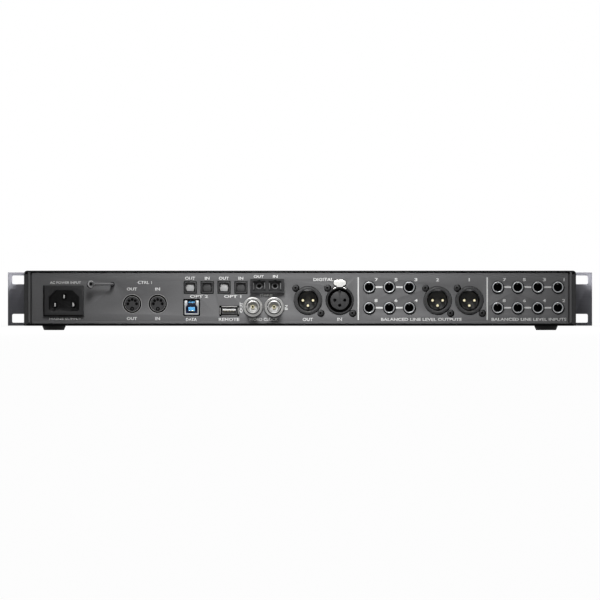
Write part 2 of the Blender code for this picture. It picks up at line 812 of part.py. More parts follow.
def build_host_port():
    z = mid_z + HOST_Z
    face_y = rear_y - FIT
    inside_w, inside_h = HOST_W - 2 * HOST_WALL, HOST_H - 2 * HOST_WALL
    outline = rectangle(HOST_X, z, HOST_W, HOST_H)
    inside = rectangle(HOST_X, z, inside_w, inside_h)
    prism_object("host_port_shell", nickel(), outline, face_y, face_y + HOST_DEPTH, holes=(inside,))
    block = rectangle(HOST_X, z, inside_w - 2 * SNUG, inside_h - 2 * SNUG)
    insert = prism_object("host_port_insert", blue_plastic(), block, face_y + FIT, face_y + HOST_DEPTH)
    low_z = z - HOST_HIGH_H / 2
    step_z = low_z + HOST_LOW_H / 2
    high_z = step_z + HOST_HIGH_H
    mouth = [
        (HOST_X - HOST_LOW_W / 2, low_z - HOST_LOW_H / 2),
        (HOST_X + HOST_LOW_W / 2, low_z - HOST_LOW_H / 2),
        (HOST_X + HOST_LOW_W / 2, step_z),
        (HOST_X + HOST_HIGH_W / 2, step_z),
        (HOST_X + HOST_HIGH_W / 2, high_z),
        (HOST_X - HOST_HIGH_W / 2, high_z),
        (HOST_X - HOST_HIGH_W / 2, step_z),
        (HOST_X - HOST_LOW_W / 2, step_z),
    ]
    tongue = rectangle(HOST_X, low_z, HOST_TONGUE_W, HOST_TONGUE_H)
    strip = rectangle(HOST_X, step_z + HOST_HIGH_H / 2, HOST_TONGUE_W, HOST_STRIP_H)
    cavity = bmesh.new()
    add_prism(cavity, mouth, face_y - HOST_MOUTH_D / 2, face_y + HOST_MOUTH_D, holes=(tongue, strip))
    combine(insert, cavity, "DIFFERENCE")


def build_aux_port():
    z = mid_z + AUX_Z
    face_y = rear_y - FIT
    outline = rectangle(AUX_X, z, aux_w, aux_h)
    inside = rectangle(AUX_X, z, AUX_MOUTH_W, AUX_MOUTH_H)
    shell = prism_object("aux_port_shell", nickel(), outline, face_y, face_y + AUX_DEPTH, holes=(inside,))
    lips = bmesh.new()
    out = AUX_LIP - AUX_WALL
    for way in (-1, 1):
        shift_x, shift_z = way * (aux_w + out) / 2, way * (aux_h + out) / 2
        across = rectangle(AUX_X, z + shift_z, AUX_MOUTH_W, AUX_LIP + AUX_WALL)
        upright = rectangle(AUX_X + shift_x, z, AUX_LIP + AUX_WALL, AUX_MOUTH_H)
        for lip in (across, upright):
            add_prism(lips, lip, face_y + AUX_LIP_T / 2, face_y + 3 * AUX_LIP_T / 2)
    combine(shell, lips, "UNION")
    back_y = face_y + AUX_DEPTH
    block_y = back_y - AUX_BLOCK_D
    low, high = z - AUX_MOUTH_H / 2 + SNUG, z + AUX_MOUTH_H / 2 - SNUG
    tongue_low = z + AUX_TONGUE_Z - AUX_TONGUE_H / 2
    section = [
        (face_y + AUX_LIP_T, tongue_low),
        (block_y, tongue_low),
        (block_y, low),
        (back_y, low),
        (back_y, high),
        (block_y, high),
        (block_y, tongue_low + AUX_TONGUE_H),
        (face_y + AUX_LIP_T, tongue_low + AUX_TONGUE_H),
    ]
    half = AUX_TONGUE_W / 2
    prism_object("aux_port_tongue", white_plastic(), section, AUX_X - half, AUX_X + half, "X")


def build_fibre_socket():
    z = mid_z + FIBRE_Z
    face_y = rear_y - FIT - FIBRE_PROUD
    flange = rectangle(FIBRE_X, z, FIBRE_W, FIBRE_H)
    socket = prism_object("fibre_socket", black_plastic(), flange, face_y, rear_y - FIT)
    body = bmesh.new()
    body_outline = rectangle(FIBRE_X, z, fibre_body_w, fibre_body_h)
    add_prism(body, body_outline, rear_y - FIBRE_PROUD / 2, face_y + FIBRE_DEPTH)
    combine(socket, body, "UNION")
    floor_y = face_y + FIBRE_MOUTH_D
    mouths, ferrules = bmesh.new(), bmesh.new()
    half_w, half_h, key = FIBRE_MOUTH_W / 2, FIBRE_MOUTH_H / 2, FIBRE_KEY_W / 2
    for step in centred(FIBRE_PITCH, 2):
        x = FIBRE_X + step
        mouth = [
            (x - half_w, z - half_h),
            (x + half_w, z - half_h),
            (x + half_w, z + half_h),
            (x + key, z + half_h),
            (x + key, z + half_h + FIBRE_KEY_H),
            (x - key, z + half_h + FIBRE_KEY_H),
            (x - key, z + half_h),
            (x - half_w, z + half_h),
        ]
        add_prism(mouths, mouth, face_y - FIBRE_PROUD, floor_y)
        tip_y = face_y + FERRULE_SET_BACK
        profile = [
            (0, floor_y + BITE),
            (FERRULE_R, floor_y + BITE),
            (FERRULE_R, tip_y),
            (FERRULE_BORE_R, tip_y),
            (FERRULE_BORE_R, floor_y - BITE),
            (0, floor_y - BITE),
        ]
        add_turned(ferrules, profile, x, z, SMALL)
    combine(socket, mouths, "DIFFERENCE")
    combine(socket, ferrules, "UNION")


def build_clock_jacks():
    z = mid_z + CLOCK_Z
    tip_y = rear_y - CLOCK_REACH
    floor_y = tip_y + CLOCK_BORE_D
    seat_y = rear_y - FIT
    profile = [
        (0, inner_y + CLOCK_DEPTH),
        (CLOCK_NECK_R, inner_y + CLOCK_DEPTH),
        (CLOCK_NECK_R, inner_y + CLOCK_NUT_T),
        (CLOCK_NUT_R, inner_y + CLOCK_NUT_T),
        (CLOCK_NUT_R, inner_y),
        (CLOCK_NECK_R, inner_y),
        (CLOCK_NECK_R, seat_y),
        (CLOCK_FLANGE_R, seat_y),
        (CLOCK_FLANGE_R, seat_y - CLOCK_FLANGE_T),
        (CLOCK_SHELL_R, seat_y - CLOCK_FLANGE_T),
        (CLOCK_SHELL_R, tip_y),
        (CLOCK_BORE_R, tip_y),
        (CLOCK_BORE_R, floor_y),
        (CLOCK_POST_R, floor_y),
        (CLOCK_POST_R, tip_y + CLOCK_POST_SET_BACK),
        (CLOCK_POST_BORE_R, tip_y + CLOCK_POST_SET_BACK),
        (CLOCK_POST_BORE_R, floor_y),
        (0, floor_y),
    ]
    for name, x in zip(("clock_jack_out", "clock_jack_in"), clock_xs):
        bm = bmesh.new()
        add_turned(bm, profile, x, z, ROUND)
        jack = make(name, bm, nickel())
        lugs = bmesh.new()
        for side in (-1, 1):
            pin = circle(tip_y + CLOCK_LUG_SET_BACK, z, CLOCK_LUG_R, SMALL)
            reach = CLOCK_SHELL_R + CLOCK_LUG_REACH
            add_prism(lugs, pin, x + side * (CLOCK_SHELL_R - BITE), x + side * reach, "X")
        combine(jack, lugs, "UNION")


def xlr_cup(x):
    """Outline of a plug connector's cup: round, flat at the top, with a key slot at the bottom."""
    rise = math.degrees(math.asin(XLR_CUP_FLAT / XLR_CUP_R))
    drop = math.degrees(math.asin(XLR_KEY_W / 2 / XLR_CUP_R))
    points = arc(0, 0, XLR_CUP_R, -90 + drop, rise, FINE // 3)
    points += arc(0, 0, XLR_CUP_R, 180 - rise, 270 - drop, FINE // 3)
    key_low = -XLR_CUP_R - XLR_KEY_H
    points += [(-XLR_KEY_W / 2, key_low), (XLR_KEY_W / 2, key_low)]
    return [(x + u, xlr_z + v) for u, v in points]


def xlr_pin_spots(x):
    return [(x - XLR_PIN_STEP, xlr_z), (x + XLR_PIN_STEP, xlr_z), (x, xlr_z - XLR_PIN_STEP)]


def xlr_shell(name, x):
    """A connector's shell with its mounting flange behind the panel, still without its opening."""
    nose = circle(x, xlr_z, XLR_NOSE_R, FINE)
    shell = prism_object(name, black_plastic(), nose, rear_y - XLR_PROUD, inner_y + XLR_DEPTH)
    flange = bmesh.new()
    plate = rectangle(x, xlr_z, XLR_FLANGE, XLR_FLANGE, XLR_FLANGE_CORNER)
    add_prism(flange, plate, inner_y, inner_y + XLR_FLANGE_T)
    combine(shell, flange, "UNION")
    return shell


def build_xlr_plugs():
    face_y = rear_y - XLR_PROUD
    floor_y = inner_y + XLR_DEPTH - XLR_FLOOR_T
    carrier_y = floor_y - FIT - XLR_CARRIER_T
    for number, x in enumerate(XLR_PLUG_X, 1):
        shell = xlr_shell(f"xlr_plug_shell_{number}", x)
        cup = bmesh.new()
        add_prism(cup, xlr_cup(x), face_y - XLR_PROUD, floor_y)
        combine(shell, cup, "DIFFERENCE")
        disc = circle(x, xlr_z, XLR_CUP_FLAT - FIT, ROUND)
        carrier = prism_object(
            f"xlr_plug_contacts_{number}", gold(), disc, carrier_y, floor_y - FIT
        )
        pins = bmesh.new()
        tip_y = face_y + XLR_PIN_SET_BACK
        for u, v in xlr_pin_spots(x):
            profile = [
                (0, carrier_y + BITE),
                (XLR_PIN_R, carrier_y + BITE),
                (XLR_PIN_R, tip_y + XLR_PIN_NOSE),
                (XLR_PIN_R / 2, tip_y),
                (0, tip_y),
            ]
            add_turned(pins, profile, u, v, SMALL)
        combine(carrier, pins, "UNION")


def build_xlr_socket():
    face_y = rear_y - XLR_PROUD
    floor_y = inner_y + XLR_DEPTH - XLR_FLOOR_T
    x = XLR_SOCKET_X
    shell = xlr_shell("xlr_socket_shell", x)
    bore = bmesh.new()
    add_prism(bore, circle(x, xlr_z, XLR_GROOVE_R, FINE), face_y - XLR_PROUD, floor_y)
    combine(shell, bore, "DIFFERENCE")
    window = bmesh.new()
    add_prism(window, latch_outline(FIT), face_y - XLR_PROUD, inner_y + 2 * XLR_FLANGE_T)
    combine(shell, window, "DIFFERENCE")
    base_y = floor_y - FIT
    profile = [
        (0, base_y),
        (XLR_GROOVE_R - FIT, base_y),
        (XLR_GROOVE_R - FIT, base_y - XLR_CARRIER_T),
        (XLR_INSERT_R, base_y - XLR_CARRIER_T),
        (XLR_INSERT_R, face_y + XLR_INSERT_SET_BACK),
        (0, face_y + XLR_INSERT_SET_BACK),
    ]
    bm = bmesh.new()
    add_turned(bm, profile, x, xlr_z, FINE)
    insert = make("xlr_socket_insert", bm, grey_plastic())
    holes = bmesh.new()
    for u, v in xlr_pin_spots(x):
        add_prism(holes, circle(u, v, XLR_HOLE_R, SMALL), face_y - XLR_PROUD, face_y + XLR_HOLE_D)
    key = rectangle(x, xlr_z + XLR_INSERT_R, XLR_KEY_W, 2 * XLR_KEY_H)
    add_prism(holes, key, face_y - XLR_PROUD, face_y + XLR_HOLE_D)
    combine(insert, holes, "DIFFERENCE")
    far_y = inner_y + XLR_FLANGE_T
    latch = prism_object("xlr_latch", nickel(), latch_outline(0.0), rear_y - LATCH_PROUD, far_y)
    put_origin(latch, (x, rear_y, xlr_z + LATCH_Z))


def add_jack_bodies(name, material, x, zs, ring_r, face_y, inward):
    """A moulded jack body with a ringed bore at each height, behind a panel whose face is at face_y."""
    wall_y = face_y + inward * (PANEL_T if inward > 0 else FRONT_T) + inward * FIT
    back_y = wall_y + inward * JACK_DEPTH
    low, high = min(zs) - jack_half, max(zs) + jack_half
    body = rectangle(x, (low + high) / 2, JACK_BODY_W, high - low)
    jack = prism_object(name, material, body, wall_y, back_y)
    rings, bores = bmesh.new(), bmesh.new()
    for z in zs:
        mouth_y = face_y - inward * JACK_PROUD
        add_prism(rings, circle(x, z, ring_r, ROUND), mouth_y, wall_y + inward * JACK_FLOOR_T)
        start, stop = mouth_y - inward * JACK_PROUD, back_y - inward * JACK_FLOOR_T
        add_prism(bores, circle(x, z, JACK_BORE_R, ROUND), start, stop)
    combine(jack, rings, "UNION")
    combine(jack, bores, "DIFFERENCE")


def build_rear_jacks():
    for letter, x in zip("abc", jack_out_xs):
        add_jack_bodies(f"jack_pair_out_{letter}", black_plastic(), x, jack_zs, JACK_RING_R, rear_y, 1)
    for letter, x in zip("abcd", jack_in_xs):
        add_jack_bodies(f"jack_pair_in_{letter}", black_plastic(), x, jack_zs, JACK_RING_R, rear_y, 1)


def build_front_panel():
    outline = rectangle(0, mid_z, BODY_W, BODY_H)
    holes = [circle(x, mid_z, COMBO_FACE_R + FIT, FINE) for x in COMBO_X]
    holes.append(circle(PHONES_X, mid_z, PHONES_NOSE_R + FIT, ROUND))
    holes.append(rectangle(DISPLAY_X, mid_z, DISPLAY_W + 2 * FIT, DISPLAY_H + 2 * FIT))
    holes += [circle(x, mid_z, KNOB_SHAFT_R + FIT, SMALL) for x in knob_xs]
    holes.append(circle(BUTTON_X, mid_z, BUTTON_R + FIT, ROUND))
    panel = prism_object("front_panel", dark_metal(), outline, front_back_y, front_y, holes=holes)
    studs = bmesh.new()
    for x in (FRONT_BOARD_X[0] + STANDOFF_INSET, FRONT_BOARD_X[1] - STANDOFF_INSET):
        for way in (-1, 1):
            z = mid_z + way * (FRONT_BOARD_H / 2 - STANDOFF_INSET / 2)
            stud = circle(x, z, STUD_R, SMALL)
            add_prism(studs, stud, front_back_y + BITE, front_back_y - KNOB_SHAFT_D - FIT)
    combine(panel, studs, "UNION")


def build_combos():
    back_y = front_back_y - FIT
    for number, x in enumerate(COMBO_X, 1):
        face = circle(x, mid_z, COMBO_FACE_R, FINE)
        near, far = front_y + XLR_PROUD, back_y - JACK_DEPTH
        combo = prism_object(f"combo_input_{number}", black_plastic(), face, near, far)
        flange = bmesh.new()
        plate = rectangle(x, mid_z, XLR_FLANGE, XLR_FLANGE, XLR_FLANGE_CORNER)
        add_prism(flange, plate, back_y, back_y - XLR_FLANGE_T)
        combine(combo, flange, "UNION")
        cutter = bmesh.new()
        out_y = front_y + 2 * XLR_PROUD
        ring = [
            (XLR_INSERT_R, out_y),
            (XLR_GROOVE_R, out_y),
            (XLR_GROOVE_R, front_y - XLR_HOLE_D),
            (XLR_INSERT_R, front_y - XLR_HOLE_D),
        ]
        add_turned(cutter, ring, x, mid_z, FINE)
        bore = circle(x, mid_z, JACK_BORE_R, ROUND)
        add_prism(cutter, bore, out_y, back_y - JACK_DEPTH + JACK_FLOOR_T)
        for u, v in arc(x, mid_z, COMBO_PIN_RING, *COMBO_PIN_ANGLES, 2):
            add_prism(cutter, circle(u, v, XLR_HOLE_R, SMALL), out_y, front_y - XLR_HOLE_D)
        combine(combo, cutter, "DIFFERENCE")


def build_front_controls():
    window = rectangle(DISPLAY_X, mid_z, DISPLAY_W, DISPLAY_H)
    glass_y = front_y - DISPLAY_SET_BACK
    prism_object("display_window", glass(), window, glass_y, glass_y - DISPLAY_T)
    shaft_y = front_back_y - KNOB_SHAFT_D
    knob_profile = [
        (0, shaft_y - FIT),
        (KNOB_SHAFT_R, shaft_y - FIT),
        (KNOB_SHAFT_R, front_y + KNOB_GAP),
        (KNOB_R, front_y + KNOB_GAP),
        (KNOB_TOP_R, front_y + KNOB_REACH),
        (0, front_y + KNOB_REACH),
    ]
    for number, x in enumerate(knob_xs, 1):
        bm = bmesh.new()
        add_turned(bm, knob_profile, x, mid_z, ROUND)
        put_origin(make(f"encoder_knob_{number}", bm, dark_metal()), (x, front_y, mid_z))
    seat_y = front_back_y - FIT
    button_profile = [
        (0, front_y + BUTTON_PROUD),
        (BUTTON_R, front_y + BUTTON_PROUD),
        (BUTTON_R, seat_y),
        (BUTTON_COLLAR_R, seat_y),
        (BUTTON_COLLAR_R, seat_y - BUTTON_COLLAR_T),
        (0, seat_y - BUTTON_COLLAR_T),
    ]
    bm = bmesh.new()
    add_turned(bm, button_profile, BUTTON_X, mid_z, ROUND)
    put_origin(make("power_button", bm, pale_plastic()), (BUTTON_X, front_y, mid_z))


def build_boards():
    width = main_board_right - MAIN_BOARD_LEFT
    x = (main_board_right + MAIN_BOARD_LEFT) / 2
    plate = rectangle(x, main_board_y + MAIN_BOARD_D / 2, width, MAIN_BOARD_D)
    board = prism_object("main_board", board_green(), plate, board_z, board_top_z, "Z")
    sink = bmesh.new()
    for step in centred(SINK_SIZE / SINK_FIN_COUNT, SINK_FIN_COUNT):
        fin = rectangle(x + step, main_board_y + SINK_SET_BACK, SINK_FIN_T, SINK_SIZE)
        add_prism(sink, fin, board_top_z - BITE, board_top_z + SINK_H, "Z")
    combine(board, sink, "UNION")
    near_y = front_back_y - KNOB_SHAFT_D - 2 * FIT
    middle = (FRONT_BOARD_X[0] + FRONT_BOARD_X[1]) / 2
    face = rectangle(middle, mid_z, FRONT_BOARD_X[1] - FRONT_BOARD_X[0], FRONT_BOARD_H)
    front = prism_object("front_board", board_green(), face, near_y, near_y - BOARD_T)
    screen = bmesh.new()
    module = rectangle(DISPLAY_X, mid_z, DISPLAY_W - 2 * FIT, DISPLAY_H - 2 * FIT)
    add_prism(screen, module, near_y - BITE, front_y - DISPLAY_SET_BACK - DISPLAY_T - FIT)
    combine(front, screen, "UNION")


def main():
    clear_scene()
    build_cover()
    build_tray()
    build_rear_panel()
    build_front_panel()
    build_ears()
    build_feet()
    build_inlet()
    build_hook()
    build_din_sockets()
    build_optical_ports()
    build_host_port()
    build_aux_port()
    build_fibre_socket()
    build_clock_jacks()
    build_xlr_plugs()
    build_xlr_socket()
    build_rear_jacks()
    add_jack_bodies("phones_jack", black_plastic(), PHONES_X, (mid_z,), PHONES_NOSE_R, front_y, -1)
    build_combos()
    build_front_controls()
    build_boards()


main()
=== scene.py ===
"""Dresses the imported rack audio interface: turned connectors, screws, lettering, finishes and a small studio.

A piece is drawn flat, in millimetres: across, up, and out of the face that it sits on. It is then turned to
that face and moved to its place in the frame, in metres, so its object ends at the origin.
"""

import math

import bmesh
import bpy
from bpy.props import FloatProperty, FloatVectorProperty, PointerProperty
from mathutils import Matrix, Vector


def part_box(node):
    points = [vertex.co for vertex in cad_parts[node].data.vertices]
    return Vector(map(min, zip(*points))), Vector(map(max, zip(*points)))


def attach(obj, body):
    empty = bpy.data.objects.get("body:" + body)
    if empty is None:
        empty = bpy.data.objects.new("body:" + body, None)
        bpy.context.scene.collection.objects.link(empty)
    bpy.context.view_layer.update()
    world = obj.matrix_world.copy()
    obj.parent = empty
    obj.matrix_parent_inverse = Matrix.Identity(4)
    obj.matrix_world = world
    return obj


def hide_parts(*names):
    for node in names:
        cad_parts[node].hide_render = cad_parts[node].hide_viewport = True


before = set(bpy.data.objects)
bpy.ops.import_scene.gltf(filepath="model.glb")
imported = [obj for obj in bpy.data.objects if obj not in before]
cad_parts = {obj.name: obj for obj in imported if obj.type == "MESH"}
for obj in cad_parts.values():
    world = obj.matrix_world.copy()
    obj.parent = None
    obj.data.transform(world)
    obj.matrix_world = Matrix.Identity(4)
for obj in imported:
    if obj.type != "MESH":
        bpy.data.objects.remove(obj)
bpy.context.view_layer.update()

bl_info = {
    "name": "Rack interface dressing",
    "version": (1, 0, 0),
    "blender": (4, 5, 0),
    "location": "View3D > Sidebar > Rack",
    "description": "Finishes, connectors, lettering and stage for a rack audio interface",
    "category": "Object",
}

MM = 0.001
QUARTER = math.pi / 2
SMOOTH = math.radians(35)
TURNS = {
    "rear": (QUARTER, 0.0, 0.0),
    "front": (QUARTER, 0.0, math.pi),
    "left": (QUARTER, 0.0, -QUARTER),
    "right": (QUARTER, 0.0, QUARTER),
    "under": (math.pi, 0.0, 0.0),
}

rear_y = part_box("rear_panel")[0].y
front_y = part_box("front_panel")[1].y
base_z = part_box("base_tray")[0].z
top_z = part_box("top_cover")[1].z
mid_z = (base_z + top_z) / 2
side_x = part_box("top_cover")[1].x


class RackFinishes(bpy.types.PropertyGroup):
    """Colours of the finishes."""

    panel: FloatVectorProperty(
        name="Rear panel", description="Satin grey of the rear panel and the cord hook", subtype="COLOR",
        default=(0.155, 0.155, 0.158))
    cover: FloatVectorProperty(
        name="Cover", description="Powder coat of cover and tray", subtype="COLOR",
        default=(0.011, 0.011, 0.012))
    ears: FloatVectorProperty(
        name="Ears", description="Anodised rack ears and front panel", subtype="COLOR",
        default=(0.165, 0.165, 0.184))
    plastic: FloatVectorProperty(
        name="Black plastic", description="Moulded black housings", subtype="COLOR",
        default=(0.008, 0.008, 0.0085))
    coal: FloatVectorProperty(
        name="Coal plastic", description="Socket rim, fibre housing and mains face", subtype="COLOR",
        default=(0.028, 0.028, 0.029))
    charcoal: FloatVectorProperty(
        name="Charcoal plastic", description="Moulded rims, inserts and flange screws", subtype="COLOR",
        default=(0.045, 0.045, 0.046))
    slate: FloatVectorProperty(
        name="Slate plastic", description="Cups of the plugs, ridges and dark shutters of the optical ports",
        subtype="COLOR", default=(0.075, 0.075, 0.076))
    grey: FloatVectorProperty(
        name="Grey plastic", description="Moulded caps, rails and lips", subtype="COLOR",
        default=(0.17, 0.17, 0.172))
    pale: FloatVectorProperty(
        name="Pale plastic", description="Light shutters and cores", subtype="COLOR",
        default=(0.49, 0.49, 0.49))
    blue: FloatVectorProperty(
        name="Blue plastic", description="Body of the large data port", subtype="COLOR",
        default=(0.003, 0.015, 0.105))
    sky: FloatVectorProperty(
        name="Sky plastic", description="Tongues of the large data port", subtype="COLOR",
        default=(0.12, 0.48, 0.92))
    white: FloatVectorProperty(
        name="White", description="White plastic and printed lettering", subtype="COLOR",
        default=(0.78, 0.78, 0.77))
    nickel: FloatVectorProperty(
        name="Nickel", description="Bright plated metal", subtype="COLOR", default=(0.78, 0.78, 0.77))
    steel: FloatVectorProperty(
        name="Steel", description="Dull plated metal of shells, blades and springs", subtype="COLOR",
        default=(0.42, 0.42, 0.416))
    tin: FloatVectorProperty(
        name="Tin", description="Tinned face of the large data port and jack bushings", subtype="COLOR",
        default=(0.330, 0.340, 0.352))
    satin: FloatVectorProperty(
        name="Satin tin", description="Blasted shell of the small data port", subtype="COLOR",
        default=(0.24, 0.24, 0.238))
    gold: FloatVectorProperty(
        name="Gold", description="Plated contacts", subtype="COLOR", default=(0.97, 0.90, 0.62))


class RackSizes(bpy.types.PropertyGroup):
    """Sizes of the added pieces."""

    screw: FloatProperty(
        name="Screw head", description="Diameter of the flange screws", unit="LENGTH", default=0.0049)
    screw_step: FloatProperty(
        name="Screw offset", description="Screws from a connector's middle, across and up", unit="LENGTH",
        default=0.0100)
    print_rise: FloatProperty(
        name="Print", description="How far lettering stands on its face", unit="LENGTH", default=0.00004)
    edge: FloatProperty(
        name="Edge", description="Rounding of the sheet metal", unit="LENGTH", default=0.00025)
    jack_reach: FloatProperty(
        name="Jack half", description="Half of a jack's square body", unit="LENGTH", default=0.00765)
    pin_step: FloatProperty(
        name="Pin step", description="Pins from a round connector's middle", unit="LENGTH", default=0.0039)


class RackStage(bpy.types.PropertyGroup):
    """Camera and lamps."""

    distance: FloatProperty(
        name="Distance", description="Camera to rear panel", unit="LENGTH", default=6.59)
    lens: FloatProperty(
        name="Lens", description="Focal length", unit="CAMERA", default=496.0)
    eye: FloatProperty(
        name="Eye height", description="Camera above the floor", unit="LENGTH", default=0.0057)
    aim: FloatProperty(
        name="Aim height", description="Height that the camera looks at", unit="LENGTH", default=0.02406)
    key: FloatProperty(
        name="Key", description="Power of the narrow lamp above the camera", unit="POWER", default=0.35)
    overhead: FloatProperty(
        name="Overhead", description="Power of the wide lamp above the case", unit="POWER", default=18.0)
    ears: FloatProperty(
        name="Ears", description="Power of each narrow lamp on a rack ear", unit="POWER", default=0.45)
    fill: FloatProperty(
        name="Fill", description="Power of the lamp on the control side", unit="POWER", default=24.0)
    ambient: FloatProperty(
        name="Ambient", description="Light from all around", default=0.14)


def finishes():
    """The colours set in the scene."""
    return bpy.context.scene.rack_finishes


def sizes():
    """The sizes set in the scene, in metres."""
    return bpy.context.scene.rack_sizes


def studio():
    """The camera and lamps set in the scene."""
    return bpy.context.scene.rack_stage


def deselect():
    """Leaves edit mode and selects nothing."""
    if bpy.context.object and bpy.context.object.mode != "OBJECT":
        bpy.ops.object.mode_set(mode="OBJECT")
    bpy.ops.object.select_all(action="DESELECT")


def pick(piece, *more):
    """Selects pieces, the first of them active."""
    deselect()
    for each in (piece, *more):
        each.select_set(True)
    bpy.context.view_layer.objects.active = piece


def drop(piece):
    """Deletes a piece."""
    pick(piece)
    bpy.ops.object.delete()


def middle(node):
    """The middle of a node's box."""
    low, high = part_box(node)
    return (low + high) / 2


def close_mesh():
    """Merges doubles and turns all faces out, in edit mode, and leaves it."""
    bpy.ops.mesh.select_all(action="SELECT")
    bpy.ops.mesh.remove_doubles(threshold=1e-6)
    bpy.ops.mesh.normals_make_consistent(inside=False)
    bpy.ops.object.mode_set(mode="OBJECT")


def draw(name, points):
    """A line through points (across, up, out) in millimetres, from one vertex, left in edit mode."""
    deselect()
    bpy.ops.mesh.primitive_plane_add(size=MM)
    piece = bpy.context.object
    piece.name = piece.data.name = name
    bpy.ops.object.mode_set(mode="EDIT")
    bpy.ops.mesh.merge(type="CENTER")
    bpy.ops.transform.translate(value=Vector(points[0]) * MM)
    for start, stop in zip(points, points[1:]):
        step = (Vector(stop) - Vector(start)) * MM
        bpy.ops.mesh.extrude_region_move(TRANSFORM_OT_translate={"value": step})
    return piece


def turned(name, profile, steps=48, base=0.0, closed=False):
    """A profile of (radius, out from a base) in millimetres, spun about the axis that points out."""
    ends = list(profile) + ([profile[0]] if closed else [])
    piece = draw(name, [(radius, 0, base + out) for radius, out in ends])
    bpy.ops.mesh.select_all(action="SELECT")
    bpy.ops.mesh.spin(steps=steps, angle=2 * math.pi, center=(0, 0, 0), axis=(0, 0, 1))
    close_mesh()
    return piece


def ring(name, profile, steps=48, base=0.0):
    """A profile that closes on itself, spun."""
    return turned(name, profile, steps, base, closed=True)


def plate(name, outline, low, high):
    """An outline of (across, up) in millimetres, filled and extruded from one level to another."""
    piece = draw(name, [(u, v, low) for u, v in (*outline, outline[0])])
    bpy.ops.mesh.select_all(action="SELECT")
    bpy.ops.mesh.remove_doubles(threshold=1e-6)
    bpy.ops.mesh.edge_face_add()
    bpy.ops.mesh.extrude_region_move(TRANSFORM_OT_translate={"value": (0, 0, (high - low) * MM)})
    close_mesh()
    return piece


def arc(u, v, radius, start, stop, steps):
    """Points on an arc about a middle, between two turns in degrees."""
    turns = [math.radians(start + (stop - start) * k / steps) for k in range(steps + 1)]
    return [(u + radius * math.cos(t), v + radius * math.sin(t)) for t in turns]


def round_box(width, height, corner, steps=5, u=0.0, v=0.0):
    """Outline of a rectangle with round corners, or cut corners with one step."""
    a, b = width / 2 - corner, height / 2 - corner
    return (
        arc(u + a, v - b, corner, -90, 0, steps) + arc(u + a, v + b, corner, 0, 90, steps)
        + arc(u - a, v + b, corner, 90, 180, steps) + arc(u - a, v - b, corner, 180, 270, steps)
    )


def disc(radius, steps=32, u=0.0, v=0.0):
    """Outline of a disc."""
    return arc(u, v, radius, 0, 360, steps)[:-1]


def oval(wide, tall, fullness, steps=40):
    """Outline of an ellipse with these half axes and fuller corners."""
    return [
        (wide * u / max(abs(u) ** fullness, 0.01), tall * v / max(abs(v) ** fullness, 0.01))
        for u, v in disc(1.0, steps)
    ]


def shift(piece, u=0.0, v=0.0, out=0.0):
    """Moves a drawn piece's mesh by millimetres."""
    pick(piece)
    bpy.ops.transform.translate(value=(u * MM, v * MM, out * MM))
    bpy.ops.object.transform_apply(location=True, rotation=False, scale=False)
    return piece


def twin(piece, name):
    """A copy with its own mesh."""
    pick(piece)
    bpy.ops.object.duplicate(linked=False)
    made = bpy.context.object
    made.name = made.data.name = name
    return made


def weld(name, first, *rest):
    """Joins pieces into one object."""
    pick(first, *rest)
    bpy.ops.object.join()
    first.name = first.data.name = name
    return first


def cut(piece, *tools):
    """Cuts tools out of a piece and deletes them."""
    for tool in tools:
        step = piece.modifiers.new("cut", "BOOLEAN")
        step.operation = "DIFFERENCE"
        step.solver = "EXACT"
        step.object = tool
        pick(piece)
        bpy.ops.object.modifier_apply(modifier=step.name)
        drop(tool)
    return piece


def soften(piece, width, segments=2, angle=40):
    """Rounds the edges that turn by more than an angle. The width is in millimetres."""
    step = piece.modifiers.new("soften", "BEVEL")
    step.width = width * MM
    step.segments = segments
    step.limit_method = "ANGLE"
    step.angle_limit = math.radians(angle)
    pick(piece)
    bpy.ops.object.modifier_apply(modifier=step.name)
    return piece


def bar(name, width, height, corner, low, high, edge, u=0.0, v=0.0, steps=3):
    """A rectangular plate with round corners and rounded edges."""
    return soften(plate(name, round_box(width, height, corner, steps, u, v), low, high), edge)


def pierced(name, outline, opening, low, high, bottom=-3.0, top=3.0):
    """A plate with an opening cut from one level to another."""
    piece = plate(name, outline, low, high)
    return cut(piece, plate("opening", opening, bottom, top))


def spread(piece, name, first, *rest):
    """Copies of a drawn piece at offsets (across, up), joined into one."""
    more = [shift(twin(piece, name), u, v) for u, v in rest]
    return weld(name, shift(piece, *first), *more)


def apply_turn(piece, turn, at):
    """Turns and moves a drawn piece's mesh, so that its object stays at the origin."""
    pick(piece)
    piece.rotation_euler = turn
    piece.location = at
    bpy.ops.object.transform_apply(location=True, rotation=True, scale=True)
    return piece


def settle(piece, at, face, body, finish, stands_for=()):
    """Turns a drawn piece to its face, moves it to its place and gives it finish and body."""
    apply_turn(piece, TURNS.get(face, (0, 0, 0)), at)
    bpy.ops.object.shade_smooth_by_angle(angle=SMOOTH)
    piece.data.materials.clear()
    piece.data.materials.append(bpy.data.materials[finish])
    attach(piece, body)
    if stands_for:
        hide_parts(*stands_for)
    return piece


def fixed(piece, at, finish, stands_for=(), face="rear"):
    """Settles a piece of the chassis."""
    return settle(piece, at, face, "chassis", finish, stands_for)


def set_out(master, places, finish, face="rear"):
    """Sets a copy of a drawn piece, with its own mesh, at each (name, place, nodes that it stands for)."""
    for name, at, *nodes in places:
        fixed(twin(master, name), at, finish, nodes, face)
    drop(master)


def at_each(master, spots, ending, finish):
    """Sets copies on the rear panel, named after their spots and an ending."""
    set_out(master, [(f"{name}_{ending}", at) for name, at in spots], finish)


def rear_spot(node):
    """The place on the rear panel in the middle of a node."""
    return Vector((middle(node).x, rear_y, middle(node).z))


def front_spot(node):
    """The place at half height on the front panel in the middle of a node."""
    return Vector((middle(node).x, front_y, mid_z))


